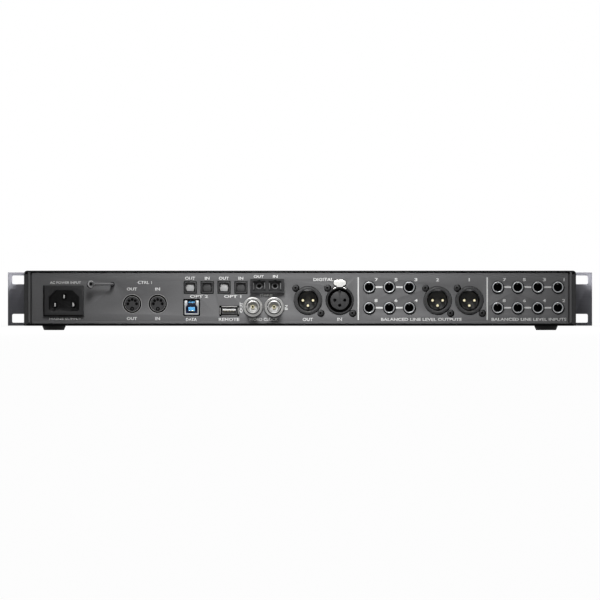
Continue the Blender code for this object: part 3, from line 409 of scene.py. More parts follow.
def copied(name, nodes):
    """A copy of CAD nodes as one mesh with its facets merged. Seams between side by side nodes are closed."""
    parts = []
    for node in nodes:
        pick(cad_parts[node])
        bpy.ops.object.duplicate(linked=False)
        part = bpy.context.object
        for key in list(part.keys()):
            del part[key]
        part.parent = None
        parts.append(part)
    piece = weld(name, *parts)
    pick(piece)
    bpy.ops.object.mode_set(mode="EDIT")
    spans = sorted((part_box(node)[0].x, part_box(node)[1].x) for node in nodes)
    for (_, left), (right, _) in zip(spans, spans[1:]):
        close_seam(piece, (left + right) / 2, right - left)
    bpy.ops.mesh.select_all(action="SELECT")
    bpy.ops.mesh.remove_doubles(threshold=2e-6)
    bpy.ops.mesh.dissolve_limited(angle_limit=math.radians(0.5))
    bpy.ops.object.mode_set(mode="OBJECT")
    return piece


def close_seam(piece, x, gap):
    """Takes out the two end faces beside a seam across x and draws their rims together, in edit mode."""
    mesh = bmesh.from_edit_mesh(piece.data)
    for face in mesh.faces:
        spot = face.calc_center_median()
        face.select_set(abs(spot.x - x) < gap and abs(face.normal.x) > 0.9)
    bmesh.update_edit_mesh(piece.data)
    bpy.ops.mesh.delete(type="FACE")
    bpy.ops.mesh.select_mode(type="VERT")
    mesh = bmesh.from_edit_mesh(piece.data)
    for point in mesh.verts:
        point.select_set(abs(point.co.x - x) < gap)
    mesh.select_flush_mode()
    bmesh.update_edit_mesh(piece.data)
    bpy.ops.transform.resize(value=(0, 1, 1), center_override=(x, 0, 0))


def dressed(nodes, width, finish):
    """A copy of CAD nodes with rounded edges, shown in their place."""
    piece = soften(copied(f"{nodes[0]}_dressed", nodes), width)
    return fixed(piece, (0, 0, 0), finish, nodes, face="")


class Finish:
    """Node finish of one surface, built up from object coordinates."""

    def __init__(self, name, colour, rough, metal=0.0, specular=0.5):
        self.material = bpy.data.materials.new(name)
        self.material.use_nodes = True
        self.tree = self.material.node_tree
        self.shader = self.tree.nodes["Principled BSDF"]
        self.colour = colour
        self.rough = rough
        self.shader.inputs["Metallic"].default_value = metal
        self.shader.inputs["Specular IOR Level"].default_value = specular
        self.material.diffuse_color = (*colour, 1.0)

    def noise(self, size, detail=2.0, stretch=(1, 1, 1)):
        """A noise whose spots are about this large, in metres."""
        place = self.tree.nodes.new("ShaderNodeTexCoord")
        turn = self.tree.nodes.new("ShaderNodeMapping")
        turn.inputs["Scale"].default_value = stretch
        self.tree.links.new(place.outputs["Object"], turn.inputs["Vector"])
        spots = self.tree.nodes.new("ShaderNodeTexNoise")
        spots.inputs["Scale"].default_value = 1 / size
        spots.inputs["Detail"].default_value = detail
        self.tree.links.new(turn.outputs["Vector"], spots.inputs["Vector"])
        return spots

    def mottle(self, size, amount, tint=(1, 1, 1), **kw):
        """Varies the colour by a share of itself, towards a tint."""
        ramp = self.tree.nodes.new("ShaderNodeValToRGB")
        low, high = ramp.color_ramp.elements
        low.position, high.position = 0.3, 0.7
        low.color = (*(c * (1 - amount) for c in self.colour), 1)
        high.color = (*(min(c * (1 + amount) * t, 1) for c, t in zip(self.colour, tint)), 1)
        self.tree.links.new(self.noise(size, 4.0, **kw).outputs["Fac"], ramp.inputs["Fac"])
        self.tree.links.new(ramp.outputs["Color"], self.shader.inputs["Base Color"])

    def smear(self, size, amount, **kw):
        """Varies the roughness."""
        spread = self.tree.nodes.new("ShaderNodeMapRange")
        spread.inputs["To Min"].default_value = max(self.rough - amount, 0.02)
        spread.inputs["To Max"].default_value = min(self.rough + amount, 1.0)
        self.tree.links.new(self.noise(size, 3.0, **kw).outputs["Fac"], spread.inputs["Value"])
        self.tree.links.new(spread.outputs["Result"], self.shader.inputs["Roughness"])

    def grain(self, size, strength, depth=0.00005, **kw):
        """A fine relief."""
        bump = self.tree.nodes.new("ShaderNodeBump")
        bump.inputs["Strength"].default_value = strength
        bump.inputs["Distance"].default_value = depth
        self.tree.links.new(self.noise(size, 2.0, **kw).outputs["Fac"], bump.inputs["Height"])
        self.tree.links.new(bump.outputs["Normal"], self.shader.inputs["Normal"])

    def coat(self, weight, rough):
        """A clear coat."""
        self.shader.inputs["Coat Weight"].default_value = weight
        self.shader.inputs["Coat Roughness"].default_value = rough


BRUSHED = (0.04, 1, 1)
MILD, WARM, GILT = (1, 0.99, 0.97), (1, 0.99, 0.96), (1, 0.97, 0.9)
# finish: colour or its property, roughness, metal, specular, and then mottle, smear and grain,
# each with its size in metres and its amount
FINISHES = {
    "powder_black": ("cover", 0.55, 0.0, 0.15, (0.004, 0.25), (0.02, 0.08), (0.0004, 0.25)),
    "satin_grey": ("panel", 0.48, 0.0, 0.2, (0.0006, 0.05), (0.03, 0.06), (0.0003, 0.12)),
    "anodised_lilac": ("ears", 0.42, 0.0, 0.2, (0.0008, 0.06), (0.004, 0.08), (0.0002, 0.08)),
    "moulded_black": ("plastic", 0.42, 0.0, 0.15, (0.003, 0.2), (0.008, 0.08), (0.0003, 0.12)),
    "moulded_charcoal": ("charcoal", 0.45, 0.0, 0.2, (0.002, 0.12), (0.006, 0.08), (0.0003, 0.12)),
    "moulded_coal": ("coal", 0.45, 0.0, 0.2, (0.002, 0.12), (0.006, 0.08), (0.0003, 0.12)),
    "moulded_slate": ("slate", 0.45, 0.0, 0.2, (0.002, 0.08), (0.006, 0.08), (0.0003, 0.10)),
    "gloss_black": ("plastic", 0.28, 0.0, 0.12, (0.002, 0.2), (0.004, 0.06), (0.0005, 0.05)),
    "deep_black": ((0.002, 0.002, 0.002), 0.8, 0.0, 0.05, (0.002, 0.2), (0.004, 0.06)),
    "moulded_pale": ("pale", 0.45, 0.0, 0.4, (0.002, 0.06), (0.004, 0.06), (0.0003, 0.08)),
    "moulded_blue": ("blue", 0.38, 0.0, 0.5, (0.002, 0.15), (0.004, 0.06), (0.0003, 0.08)),
    "moulded_sky": ("sky", 0.38, 0.0, 0.5, (0.002, 0.08), (0.004, 0.06), (0.0003, 0.08)),
    "moulded_white": ("white", 0.40, 0.0, 0.5, (0.002, 0.04), (0.004, 0.06), (0.0003, 0.06)),
    "print_white": ("white", 0.60, 0.0, 0.25, (0.0005, 0.08), (0.003, 0.08), (0.0002, 0.10)),
    "plated_nickel": ("nickel", 0.26, 1.0, 0.5, (0.003, 0.08, WARM), (0.002, 0.07), (0.0005, 0.04)),
    "dull_nickel": ("steel", 0.37, 1.0, 0.5, (0.003, 0.08, MILD), (0.002, 0.07), (0.0005, 0.04)),
    "tinned_plate": ("tin", 0.38, 1.0, 0.5, (0.003, 0.06, MILD), (0.002, 0.05), (0.0005, 0.03)),
    "satin_tin": ("satin", 0.5, 0.25, 0.3, (0.003, 0.06, MILD), (0.002, 0.05), (0.0005, 0.03)),
    "moulded_grey": ("grey", 0.45, 0.0, 0.2, (0.002, 0.08), (0.006, 0.06), (0.0003, 0.10)),
    "plated_gold": ("gold", 0.28, 1.0, 0.5, (0.002, 0.05, GILT), (0.002, 0.07), (0.0005, 0.04)),
    "soft_rubber": ((0.010, 0.010, 0.010), 0.78, 0.0, 0.25, (0.002, 0.25), (0.004, 0.1), (0.0004, 0.2)),
    "lacquered_board": ((0.015, 0.085, 0.04), 0.4, 0.0, 0.5, (0.006, 0.3), (0.004, 0.1), (0.001, 0.15)),
    "smoked_glass": ((0.006, 0.007, 0.010), 0.10, 0.0, 0.5, (0.01, 0.2), (0.01, 0.03)),
}
CAD_FINISHES = {
    "black_paint": "powder_black",
    "grey_paint": "satin_grey",
    "anodised": "anodised_lilac",
    "black_plastic": "moulded_black",
    "grey_plastic": "moulded_charcoal",
    "pale_plastic": "moulded_pale",
    "blue_plastic": "moulded_blue",
    "white_plastic": "moulded_white",
    "nickel": "plated_nickel",
    "gold": "plated_gold",
    "rubber": "soft_rubber",
    "circuit_board": "lacquered_board",
    "display_glass": "smoked_glass",
}


class RACK_OT_finishes(bpy.types.Operator):
    """Makes the finishes and gives them to the nodes of the frame"""

    bl_idname = "rack.finishes"
    bl_label = "Finishes"

    def execute(self, context):
        for name, (colour, rough, metal, specular, mottle, smear, *grain) in FINISHES.items():
            shade = getattr(finishes(), colour) if isinstance(colour, str) else colour
            stretch = BRUSHED if name == "anodised_lilac" else (1, 1, 1)
            finish = Finish(name, shade, rough, metal, specular)
            finish.mottle(*mottle, stretch=stretch)
            finish.smear(*smear, stretch=stretch)
            for size, strength in grain:
                finish.grain(size, strength, stretch=stretch)
            if name == "smoked_glass":
                finish.coat(0.5, 0.05)
        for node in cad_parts.values():
            old = node.data.materials[0].name.split(".")[0]
            node.data.materials[0] = bpy.data.materials[CAD_FINISHES[old]]
        return {"FINISHED"}


class RACK_OT_sheet_metal(bpy.types.Operator):
    """Rounded edges of cover, tray, panels and ears, the tray's hems in a paler grey as a painted highlight,
    the panel's folds, and a black strip along the tray's bottom edge as painted shadow
    """

    bl_idname = "rack.sheet_metal"
    bl_label = "Sheet metal"

    def execute(self, context):
        edge = sizes().edge / MM
        panels = sorted(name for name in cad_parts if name.startswith("rear_panel"))
        dressed(panels, edge, "satin_grey")
        for sheet in ("top_cover", "base_tray"):
            dressed((sheet,), edge, "powder_black")
        for sheet in ("front_panel", "rack_ear_left", "rack_ear_right"):
            dressed((sheet,), edge, "anodised_lilac")
        low, high, edge_x = base_z / MM + 1.6, top_z / MM, side_x / MM
        flat = [(0.1, 0.5), (0.1, -1.0), (0.3, -1.08), (3.05, -1.08), (3.2, -0.3), (5.7, -0.3), (5.7, 0.5)]
        flat = [(edge_x - inset, v) for inset, v in flat]
        roll = arc(edge_x - 4.05, -0.35, 0.95, 0, -180, 12) + [(edge_x - 5.0, 0.5), (edge_x - 3.1, 0.5)]
        for hand, side in (("left", -1), ("right", 1)):
            rim = plate(f"tray_rim_{hand}", [(side * u, v) for u, v in flat], low, high - 2.9)
            fixed(rim, (0, rear_y, 0), "moulded_charcoal", face="")
            # The rolled hem is part of the tray but takes the paler satin grey: a painted highlight along the
            # roll.
            hem_highlight = plate(f"tray_hem_{hand}", [(side * u, v) for u, v in roll], low + 1.0, high - 1.2)
            fixed(hem_highlight, (0, rear_y, 0), "satin_grey", face="")
        at = (0, rear_y, mid_z)
        # A black strip along the tray's bottom edge: painted shadow of the gap under the panel.
        edge_shadow = bar("tray_lip", 436.4, 1.5, 0.1, 0.8, 1.06, 0.05, v=-21.3, steps=2)
        fixed(edge_shadow, at, "deep_black")
        folds = [plate("fold", round_box(427.6, 2.0, 0.1, 2, 0, v), -0.8, 0.008) for v in (-19.15, 19.15)]
        fixed(weld("panel_folds", *folds), at, "satin_grey")
        return {"FINISHED"}


def screw_head(diameter, rise):
    """A domed head with a six-lobed recess, drawn about its own axis, in millimetres."""
    r = diameter / 2
    dome = [(1.0, 0.15), (0.96, 0.40), (0.84, 0.68), (0.62, 0.90), (0.36, 0.98), (0, 1.0)]
    head = turned("screw", [(0, -0.3), (r, -0.3)] + [(r * wide, rise * tall) for wide, tall in dome])
    lobes = []
    for turn in range(0, 360, 10):
        reach = r * (0.38 + 0.05 * math.cos(math.radians(6 * turn)))
        lobes.append((reach * math.cos(math.radians(turn)), reach * math.sin(math.radians(turn))))
    return cut(head, plate("recess", lobes, rise * 0.3, rise * 2))


class RACK_OT_screws(bpy.types.Operator):
    """Screws beside the round connectors, each with a black ring set off towards the lower right as painted
    shadow and a black disc as painted shade in its recess, and on the sides, the ears and underneath
    """

    bl_idname = "rack.screws"
    bl_label = "Screws"

    def execute(self, context):
        step = sizes().screw_step
        spots = []
        for node in ("xlr_plug_shell_1", "xlr_socket_shell", "xlr_plug_shell_2", "xlr_plug_shell_3"):
            for k, side in enumerate((-1, 1)):
                spots.append((f"screw_{node}_{k}", rear_spot(node) + Vector((side * step, 0, -side * step))))
        set_out(screw_head(sizes().screw / MM, 2.0), spots, "moulded_charcoal")
        # The seat is a black ring moved towards the lower right of each screw: painted shadow.
        seat = ring("seat", [(1.9, -0.3), (2.2, 0.5), (2.7, 0.5), (2.9, 0.2), (2.9, -0.3)], 40)
        at_each(shift(seat, 0.42, -0.3), spots, "seat", "deep_black")
        # A black disc in the bottom of each screw's recess: painted shade.
        socket = turned("socket", [(0, 1.2), (1.05, 1.15), (1.05, 0.5), (0, 0.5)], 24)
        at_each(socket, spots, "socket", "deep_black")
        for face, side in (("left", -1), ("right", 1)):
            spots = [
                (f"screw_cover_{face}_{k}", (side * side_x, y, mid_z + rise))
                for k, (y, rise) in enumerate(((-0.10, 0.014), (-0.10, -0.014), (0.06, 0.014), (0.06, -0.014)))
            ]
            set_out(screw_head(5.0, 0.4), spots, "powder_black", face)
            leg_x = side * (abs(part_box(f"rack_ear_{face}")[1 if side < 0 else 0].x) + 0.0025)
            spots = [
                (f"screw_ear_{face}_{k}", (leg_x, front_y - 0.030, mid_z + rise))
                for k, rise in enumerate((-0.013, 0.0, 0.013))
            ]
            set_out(screw_head(5.5, 1.4), spots, "powder_black", face)
        spots = [
            (f"screw_base_{k}", (x, y, base_z + 0.0003))
            for k, (x, y) in enumerate(((-0.14, -0.09), (0.14, -0.09), (-0.14, 0.03), (0.14, 0.03), (0, -0.09)))
        ]
        set_out(screw_head(5.0, 0.4), spots, "powder_black", "under")
        return {"FINISHED"}


def three_pin_plugs(step):
    """Rims, ridges, pins and carriers of the plug connectors, and a black ring round each rim as painted
    shadow.
    """
    hubs = [(n, rear_spot(f"xlr_plug_shell_{n}")) for n in (1, 2, 3)]
    rim = ring("rim", [
        (8.45, -3.0), (8.55, 1.2), (8.8, 1.6), (9.3, 1.75), (10.1, 1.75), (10.55, 1.5), (10.8, 0.9),
        (10.85, -0.4)], 72)
    # A thin black ring round each rim, moved towards the lower right where it is set out: painted shadow.
    line = ring("line", [(10.7, -0.4), (10.8, 0.3), (11.0, 0.3), (11.25, 0.1), (11.3, -0.4)], 72)
    floor = (rear_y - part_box("xlr_plug_contacts_1")[0].y) / MM
    pin = turned("pin", [
        (0, 0), (0.9, -0.03), (1.05, -0.15), (1.12, -0.6), (1.12, -12.5), (0, -12.5)], 24, floor)
    for name, piece, slot, finish in (
        ("rim", rim, "grey_plastic", "moulded_charcoal"),
        ("line", shift(line, 0.22, -0.22), "grey_plastic", "deep_black"),
        ("shelf", soften(plate("shelf", arc(0, 0, 8.6, 59, 121, 10), -2.0, 1.65), 0.15),
         "grey_plastic", "moulded_charcoal"),
        ("lens", soften(plate("lens", arc(0, 0, 8.7, 68, 112, 10), -2.0, 1.85), 0.12),
         "grey_plastic", "moulded_grey"),
        ("pins", spread(pin, "pins", (0.05, -step - 0.22), (-step - 0.1, 0.0), (step + 0.2, 0.0)),
         "gold", "plated_gold"),
    ):
        set_out(piece, [(f"xlr_{name}_{n}", hub) for n, hub in hubs], finish)
    seat = turned("seat", [(0, -11.0), (7.3, -11.0), (7.9, -11.5), (7.9, -19.0), (0, -19.0)], 64)
    collar = ring("collar", [(1.0, -11.4), (1.9, -11.4), (1.9, -10.4), (1.7, -10.1), (1.35, -10.1)], 24)
    carrier = weld("carrier", seat, spread(collar, "collars", (0, -step), (-step, 0.2), (step, 0.2)))
    set_out(carrier, [(f"xlr_carrier_{n}", hub, f"xlr_plug_contacts_{n}") for n, hub in hubs],
            "moulded_slate")
    for n, _ in hubs:
        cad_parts[f"xlr_plug_shell_{n}"].data.materials[0] = bpy.data.materials["moulded_slate"]


def three_pin_socket(step):
    """Rim, insert, wings and release tab of the socket. The tab passes through a gap in the rim."""
    hub = rear_spot("xlr_socket_shell")
    rim = ring("xlr_rim_4", [
        (9.62, -3.0), (9.68, 0.7), (9.85, 1.0), (10.2, 1.1), (10.5, 1.1), (10.95, 0.9), (11.25, 0.45),
        (11.3, -0.4)], 72)
    gap = plate("gap", round_box(5.8, 4.0, 0.2, 3, 0, 12.25), -4.0, 3.0)
    fixed(cut(rim, gap), hub, "moulded_coal")
    insert = turned("insert", [
        (0, 0.05), (7.05, 0.05), (7.4, -0.1), (7.5, -0.45), (7.5, -17.0), (0, -17.0)], 64)
    key_v = 7.6
    holes = [
        plate("hole", disc(radius, 24, u, v), -12.0, 2.0)
        for radius, u, v in ((1.35, -step, 0.2), (1.35, step, 0.2), (1.35, 0, -step), (1.3, 0, key_v))
    ]
    key = soften(plate("key", disc(0.6, 16, 0, key_v), -12.5, -0.6), 0.1)
    fixed(weld("xlr_insert", cut(insert, *holes), key), hub, "moulded_charcoal",
          ("xlr_socket_insert",))
    low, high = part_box("xlr_latch")
    back, front = (rear_y - high.y) / MM, (rear_y - low.y) / MM
    tab = soften(plate("tab", oval(5.05, 2.5, 0.3), back, front), 0.55, 3)
    neck = bar("neck", 5.0, 1.5, 0.2, back, 1.7, 0.15, v=-2.5)
    settle(weld("xlr_tab", tab, neck), (hub.x, rear_y, high.z - 2.55 * MM), "rear", "latch",
           "plated_nickel", ("xlr_latch",))
    wing = [(2.8, 10.55), (5.05, 9.75), (5.3, 9.4), (5.0, 9.0), (4.5, 9.05), (2.8, 10.0)]
    wings = [soften(plate("wing", [(side * u, v) for u, v in wing], 0.9, 1.35), 0.12) for side in (-1, 1)]
    fixed(weld("xlr_wings", *wings), hub, "plated_nickel")


class RACK_OT_round_connectors(bpy.types.Operator):
    """The three-pin plugs, and the three-pin socket with its release tab"""

    bl_idname = "rack.round_connectors"
    bl_label = "Three-pin connectors"

    def execute(self, context):
        step = sizes().pin_step / MM
        three_pin_plugs(step)
        three_pin_socket(step)
        return {"FINISHED"}


def jack_spots():
    """Name and place on the rear panel of each quarter-inch jack."""
    spots = []
    for pair in [n for n in sorted(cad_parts) if n.startswith("jack_pair_")]:
        low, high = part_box(pair)
        x, reach = (low.x + high.x) / 2, sizes().jack_reach
        spots.append((f"{pair}_low", Vector((x, rear_y, low.z + reach))))
        spots.append((f"{pair}_high", Vector((x, rear_y, high.z - reach))))
    return spots


def jack_bushing(name, out=0.0):
    """The plated mouth of a quarter-inch jack, set out from its face."""
    return shift(ring(name, [
        (3.5, -0.5), (3.5, 1.35), (3.6, 1.55), (3.85, 1.65), (4.1, 1.6), (4.3, 1.4), (4.38, 1.0),
        (4.38, -0.4)], 56), out=out)


def jack_spring():
    """The bent tip contact in a jack's bore."""
    leaf = soften(plate("leaf", round_box(2.2, 5.0, 0.5), 0.0, 0.35), 0.1)
    bump = turned("bump", [(0, 0.3), (0.9, 0.3), (0.8, 0.7), (0.4, 1.0), (0, 1.05)], 20)
    return apply_turn(weld("leaf", leaf, bump), (QUARTER, 0, 0), (0, 2.95 * MM, -8.5 * MM))


class RACK_OT_jacks(bpy.types.Operator):
    """Plated bushings, black collars that are partly painted shadow, and tip springs of the quarter-inch jacks
    """

    bl_idname = "rack.jacks"
    bl_label = "Jacks"

    def execute(self, context):
        spots = jack_spots()
        # A black collar round each bushing, moved towards the lower right: partly a dark collar, partly painted
        # shadow.
        collar = ring("collar", [
            (4.0, -0.4), (4.05, 0.75), (4.7, 0.8), (5.03, 0.6), (5.1, 0.3), (5.1, -0.4)])
        at_each(jack_bushing("bushing"), spots, "bushing", "tinned_plate")
        at_each(shift(collar, 0.2, -0.3), spots, "collar", "gloss_black")
        at_each(jack_spring(), spots, "spring", "dull_nickel")
        return {"FINISHED"}


def bayonet_shell(reach):
    """Flange, tube, neck and two lugs of a bayonet jack, in one piece."""
    flange = ring("flange", [
        (4.0, 0.05), (7.55, 0.05), (7.85, 0.35), (7.9, 0.8), (7.9, 1.65), (7.65, 2.1), (7.2, 2.4),
        (6.95, 2.4), (6.75, 2.15), (6.65, 1.3), (5.95, 1.3), (5.95, 0.6), (4.0, 0.6)], 64)
    tube = ring("tube", [
        (4.1, 0.5), (5.2, 0.5), (5.2, 3.2), (5.0, 3.4), (5.0, reach - 0.5), (4.8, reach - 0.1), (4.5, reach),
        (4.3, reach - 0.1), (4.05, reach - 0.4), (4.05, 0.5)], 64)
    neck = turned("neck", [
        (0, 1.25), (4.5, 1.25), (4.5, -2.0), (6.5, -2.0), (6.5, -4.4), (4.2, -4.4), (4.2, -14.0), (0, -14.0)])
    lugs = []
    for side in (-1, 1):
        lug = turned("lug", [(0, 0), (0.7, 0), (0.7, 0.5), (0.55, 0.65), (0, 0.65)], 20)
        lugs.append(apply_turn(lug, (0, side * QUARTER, 0), (side * 4.8 * MM, 0, (reach - 4.0) * MM)))
    return weld("shell", flange, tube, neck, *lugs)


class RACK_OT_clock_jacks(bpy.types.Operator):
    """Turned shells, cores and posts of the two bayonet jacks, with a charcoal ring as painted shade in each
    groove and a black disc as painted shade in each post's bore
    """

    bl_idname = "rack.clock_jacks"
    bl_label = "Clock jacks"

    def execute(self, context):
        reach = (rear_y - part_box("clock_jack_out")[0].y) / MM
        spots = [(node, rear_spot(node)) for node in ("clock_jack_out", "clock_jack_in")]
        set_out(bayonet_shell(reach), [(f"{node}_shell", at, node) for node, at in spots],
                "dull_nickel")
        # A charcoal ring set in the groove between flange and shell: painted shade.
        groove = ring("groove", [(4.9, 0.5), (5.97, 0.5), (5.97, 1.9), (4.9, 1.9)], 64)
        at_each(groove, spots, "groove", "moulded_charcoal")
        core = ring("core", [
            (1.45, -9.0), (4.0, -9.0), (4.0, -4.6), (3.8, -4.3), (2.6, -4.3), (2.4, -4.6), (2.4, -5.0),
            (1.45, -5.0)], base=reach)
        at_each(core, spots, "core", "moulded_pale")
        post = ring("post", [
            (0.85, -5.5), (0.85, -2.5), (0.95, -2.3), (1.25, -2.3), (1.4, -2.6), (1.4, -9.0), (0.85, -9.0)],
            32, reach)
        at_each(post, spots, "post", "plated_gold")
        # A black disc in the post's bore: painted shade.
        void = turned("void", [(0, -2.9), (0.8, -3.0), (0.86, -3.2), (0.86, -9.0), (0, -9.0)], 24, reach)
        at_each(void, spots, "void", "deep_black")
        return {"FINISHED"}


class RACK_OT_din_sockets(bpy.types.Operator):
    """Rims, shields and five-hole inserts of the round sockets, with a black band between rim and shield and
    black discs in the holes and the notch, all painted shade
    """

    bl_idname = "rack.din_sockets"
    bl_label = "Five-pin sockets"

    def execute(self, context):
        spots = [(node, rear_spot(node)) for node in ("din_socket_out", "din_socket_in")]
        pins = arc(0, 0, 3.5, 0, 180, 4)
        key_v = -4.0
        rim = ring("rim", [
            (7.3, -1.2), (7.32, 0.05), (7.4, 0.15), (7.55, 0.15), (7.65, 0.02), (7.65, -0.4)], 64)
        at_each(rim, spots, "rim", "dull_nickel")
        # A black band between rim and shield: painted shade of the recess.
        band = ring("band", [
            (6.1, -1.0), (6.15, -0.12), (6.6, -0.08), (7.25, -0.05), (7.32, -0.2), (7.32, -1.0)], 64)
        at_each(band, spots, "band", "deep_black")
        shield = ring("shield", [
            (5.9, -1.0), (5.92, -0.05), (5.98, 0.02), (6.06, 0.02), (6.12, -0.05), (6.12, -1.0)], 64)
        at_each(shield, spots, "shield", "dull_nickel")
        insert = turned("insert", [(0, -0.05), (5.7, -0.05), (5.9, -0.25), (5.9, -2.4), (0, -2.4)], 64)
        holes = [plate("hole", disc(1.2, 20, u, v), -3.0, 2.0) for u, v in pins]
        holes.append(plate("notch", disc(1.6, 24, 0, key_v), -3.0, 2.0))
        insert = weld("insert", cut(insert, *holes), bar("house", 18.6, 18.6, 0.6, -16.8, -1.8, 0.2))
        set_out(insert, [(f"{node}_insert", at, node) for node, at in spots],
                "moulded_charcoal")
        peg = turned("peg", [(0, -0.1), (0.6, -0.15), (0.75, -0.4), (0.75, -1.1), (0, -1.1)], 20)
        at_each(shift(peg, 0, key_v), spots, "peg", "moulded_charcoal")
        # Black discs in the pin holes and the key notch: painted shade.
        void = turned("void", [(0, -0.7), (1.2, -0.5), (1.2, -1.1), (0, -1.1)], 16)
        notch = ring("notch", [(0.75, -0.5), (1.6, -0.4), (1.6, -1.1), (0.75, -1.1)], 24)
        voids = weld("voids", shift(notch, 0, key_v), spread(void, "void", *pins))
        at_each(voids, spots, "voids", "deep_black")
        return {"FINISHED"}


class RACK_OT_optical_ports(bpy.types.Operator):
    """Frames and hinged shutters of the optical ports"""

    bl_idname = "rack.optical_ports"
    bl_label = "Optical ports"

    def execute(self, context):
        ports = [(n, rear_spot(f"optical_port_{n}")) for n in (1, 2, 3, 4)]
        bezel = pierced("bezel", round_box(10.4, 10.1, 0.5, 3), round_box(7.0, 6.9, 0.9, 1), -0.9, 0.35, -2, 2)
        set_out(soften(bezel, 0.12), [(f"optical_bezel_{n}", at) for n, at in ports],
                "moulded_black")
        ridge = pierced("ridge", round_box(8.9, 8.6, 0.6, 3), round_box(7.9, 7.6, 0.6, 3), 0.1, 0.5, -2, 2)
        set_out(soften(ridge, 0.1), [(f"optical_ridge_{n}", at) for n, at in ports],
                "moulded_slate")
        half = [(0.42, 0.5), (0.43, 0.2), (0.5, 0.03), (0.5, -0.03), (0.43, -0.2), (0.42, -0.5)]
        shares = half + [(-u, v) for u, v in reversed(half)]
        for n, _ in ports:
            node = f"optical_shutter_{n}"
            low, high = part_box(node)
            width, depth, height = (high - low) / MM
            face = plate("face", [(width * u, height * v) for u, v in shares], -depth, 0)
            pad = bar("pad", width - 2.4, height - 2.4, 0.7, -0.1, 0.12, 0.08)
            slot, finish = ("pale_plastic", "moulded_pale") if n % 2 else ("grey_plastic", "moulded_slate")
            leaf = weld(f"{node}_leaf", soften(face, 0.12), pad)
            at = Vector((middle(node).x, low.y, middle(node).z))
            settle(leaf, at, "rear", f"shutter_{n}", finish, (node,))
        return {"FINISHED"}


def large_data_port():
    """Tinned face, dark border, blue cup, tongues and contacts."""
    hub = rear_spot("host_port_shell")
    mouth = [(-4.7, -4.9), (4.7, -4.9), (4.7, 0.4), (3.3, 1.9), (3.3, 6.6), (-3.3, 6.6), (-3.3, 1.9),
             (-4.7, 0.4)]
    face = pierced("host_port_face", round_box(11.5, 11.5, 0.4, 3, 0, -0.35), mouth, -0.5, 0.38)
    fixed(soften(face, 0.05), hub, "tinned_plate")
    border = pierced("host_port_border", round_box(13.3, 13.4, 0.4, 3), round_box(11.2, 11.2, 0.4, 3, 0, -0.35),
                     0.02, 0.45)
    fixed(soften(border, 0.05), hub, "deep_black")
    cup = pierced("host_port_cup", round_box(11.2, 10.9, 0.4, 3), [(u, min(v, 5.2)) for u, v in mouth],
                  -15.5, -0.45, -9.0)
    fixed(soften(cup, 0.1), hub, "moulded_blue", ("host_port_insert",))
    upper = bar("upper", 4.9, 1.4, 0.3, -7.0, -0.6, 0.12, v=4.1)
    lower = bar("lower", 5.4, 3.0, 0.3, -7.0, -0.6, 0.12, v=-1.3)
    fixed(weld("host_port_tongues", upper, lower), hub, "moulded_sky")
    strips = [
        bar("strip", 0.6, 0.22, 0.08, -6.0, front, 0.05, u, v, 2)
        for u in (-1.9, -0.65, 0.65, 1.9) for v, front in ((-3.0, -0.7), (3.4, -0.8))
    ]
    fixed(weld("host_port_strips", *strips), hub, "plated_gold")


def small_data_port():
    """Blasted shell, lining, brim, tongue and contacts."""
    dressed(("aux_port_shell",), 0.12, "satin_tin")
    hub = rear_spot("aux_port_shell")
    room = round_box(11.9, 4.5, 0.3, 3)
    liner = pierced("aux_port_liner", round_box(12.4, 5.0, 0.3, 3), room, -13.0, 0.1, -2.6)
    fixed(liner, hub, "moulded_grey")
    brim = pierced("brim", round_box(13.6, 6.2, 0.3, 3), room, 0.32, 0.42, -9.0)
    back = pierced("back", round_box(17.2, 9.8, 0.3, 3), round_box(13.7, 6.3, 0.3, 3), -2.6, -1.9, -9.0)
    fixed(weld("aux_port_brim", brim, back), hub, "deep_black")
    tongue = bar("aux_port_blade", 10.6, 1.25, 0.25, -9.5, 0.6, 0.3, v=0.95)
    fixed(tongue, hub, "moulded_white", ("aux_port_tongue",))
    strips = [bar("strip", 1.1, 0.3, 0.1, -8.5, -0.8, 0.06, u, 0.1, 2) for u in (-3.5, -1.1, 1.1, 3.5)]
    fixed(weld("aux_port_strips", *strips), hub, "plated_gold")


class RACK_OT_data_ports(bpy.types.Operator):
    """The large and the small data port"""

    bl_idname = "rack.data_ports"
    bl_label = "Data ports"

    def execute(self, context):
        large_data_port()
        small_data_port()
        return {"FINISHED"}


class RACK_OT_fibre_socket(bpy.types.Operator):
    """Housing, ferrules, floors and guide rails of the fibre socket"""

    bl_idname = "rack.fibre_socket"
    bl_label = "Fibre socket"

    def execute(self, context):
        dressed(("fibre_socket",), 0.3, "moulded_coal")
        proud = (rear_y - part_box("fibre_socket")[0].y) / MM
        half_pitch = 0.00635
        spots = [
            (f"fibre_{name}", rear_spot("fibre_socket") + Vector((side * half_pitch, 0, 0)))
            for name, side in (("out", -1), ("in", 1))
        ]
        ferrule = ring("ferrule", [
            (1.6, -9.0), (1.6, -5.3), (1.75, -5.05), (2.45, -5.05), (2.7, -5.35), (2.7, -9.0)], 40, proud)
        at_each(ferrule, spots, "ferrule", "moulded_grey")
        floor = pierced("floor", round_box(9.2, 8.6, 0.3, 3), disc(2.6),
                        proud - 7.0, proud - 5.5, proud - 9.0, proud)
        at_each(floor, spots, "floor", "moulded_coal")
        rails = [bar("rail", 0.7, 5.2, 0.25, proud - 10, proud - 1.0, 0.12, u) for u in (-4.35, 4.35)]
        at_each(weld("rails", *rails), spots, "rails", "moulded_grey")
        return {"FINISHED"}


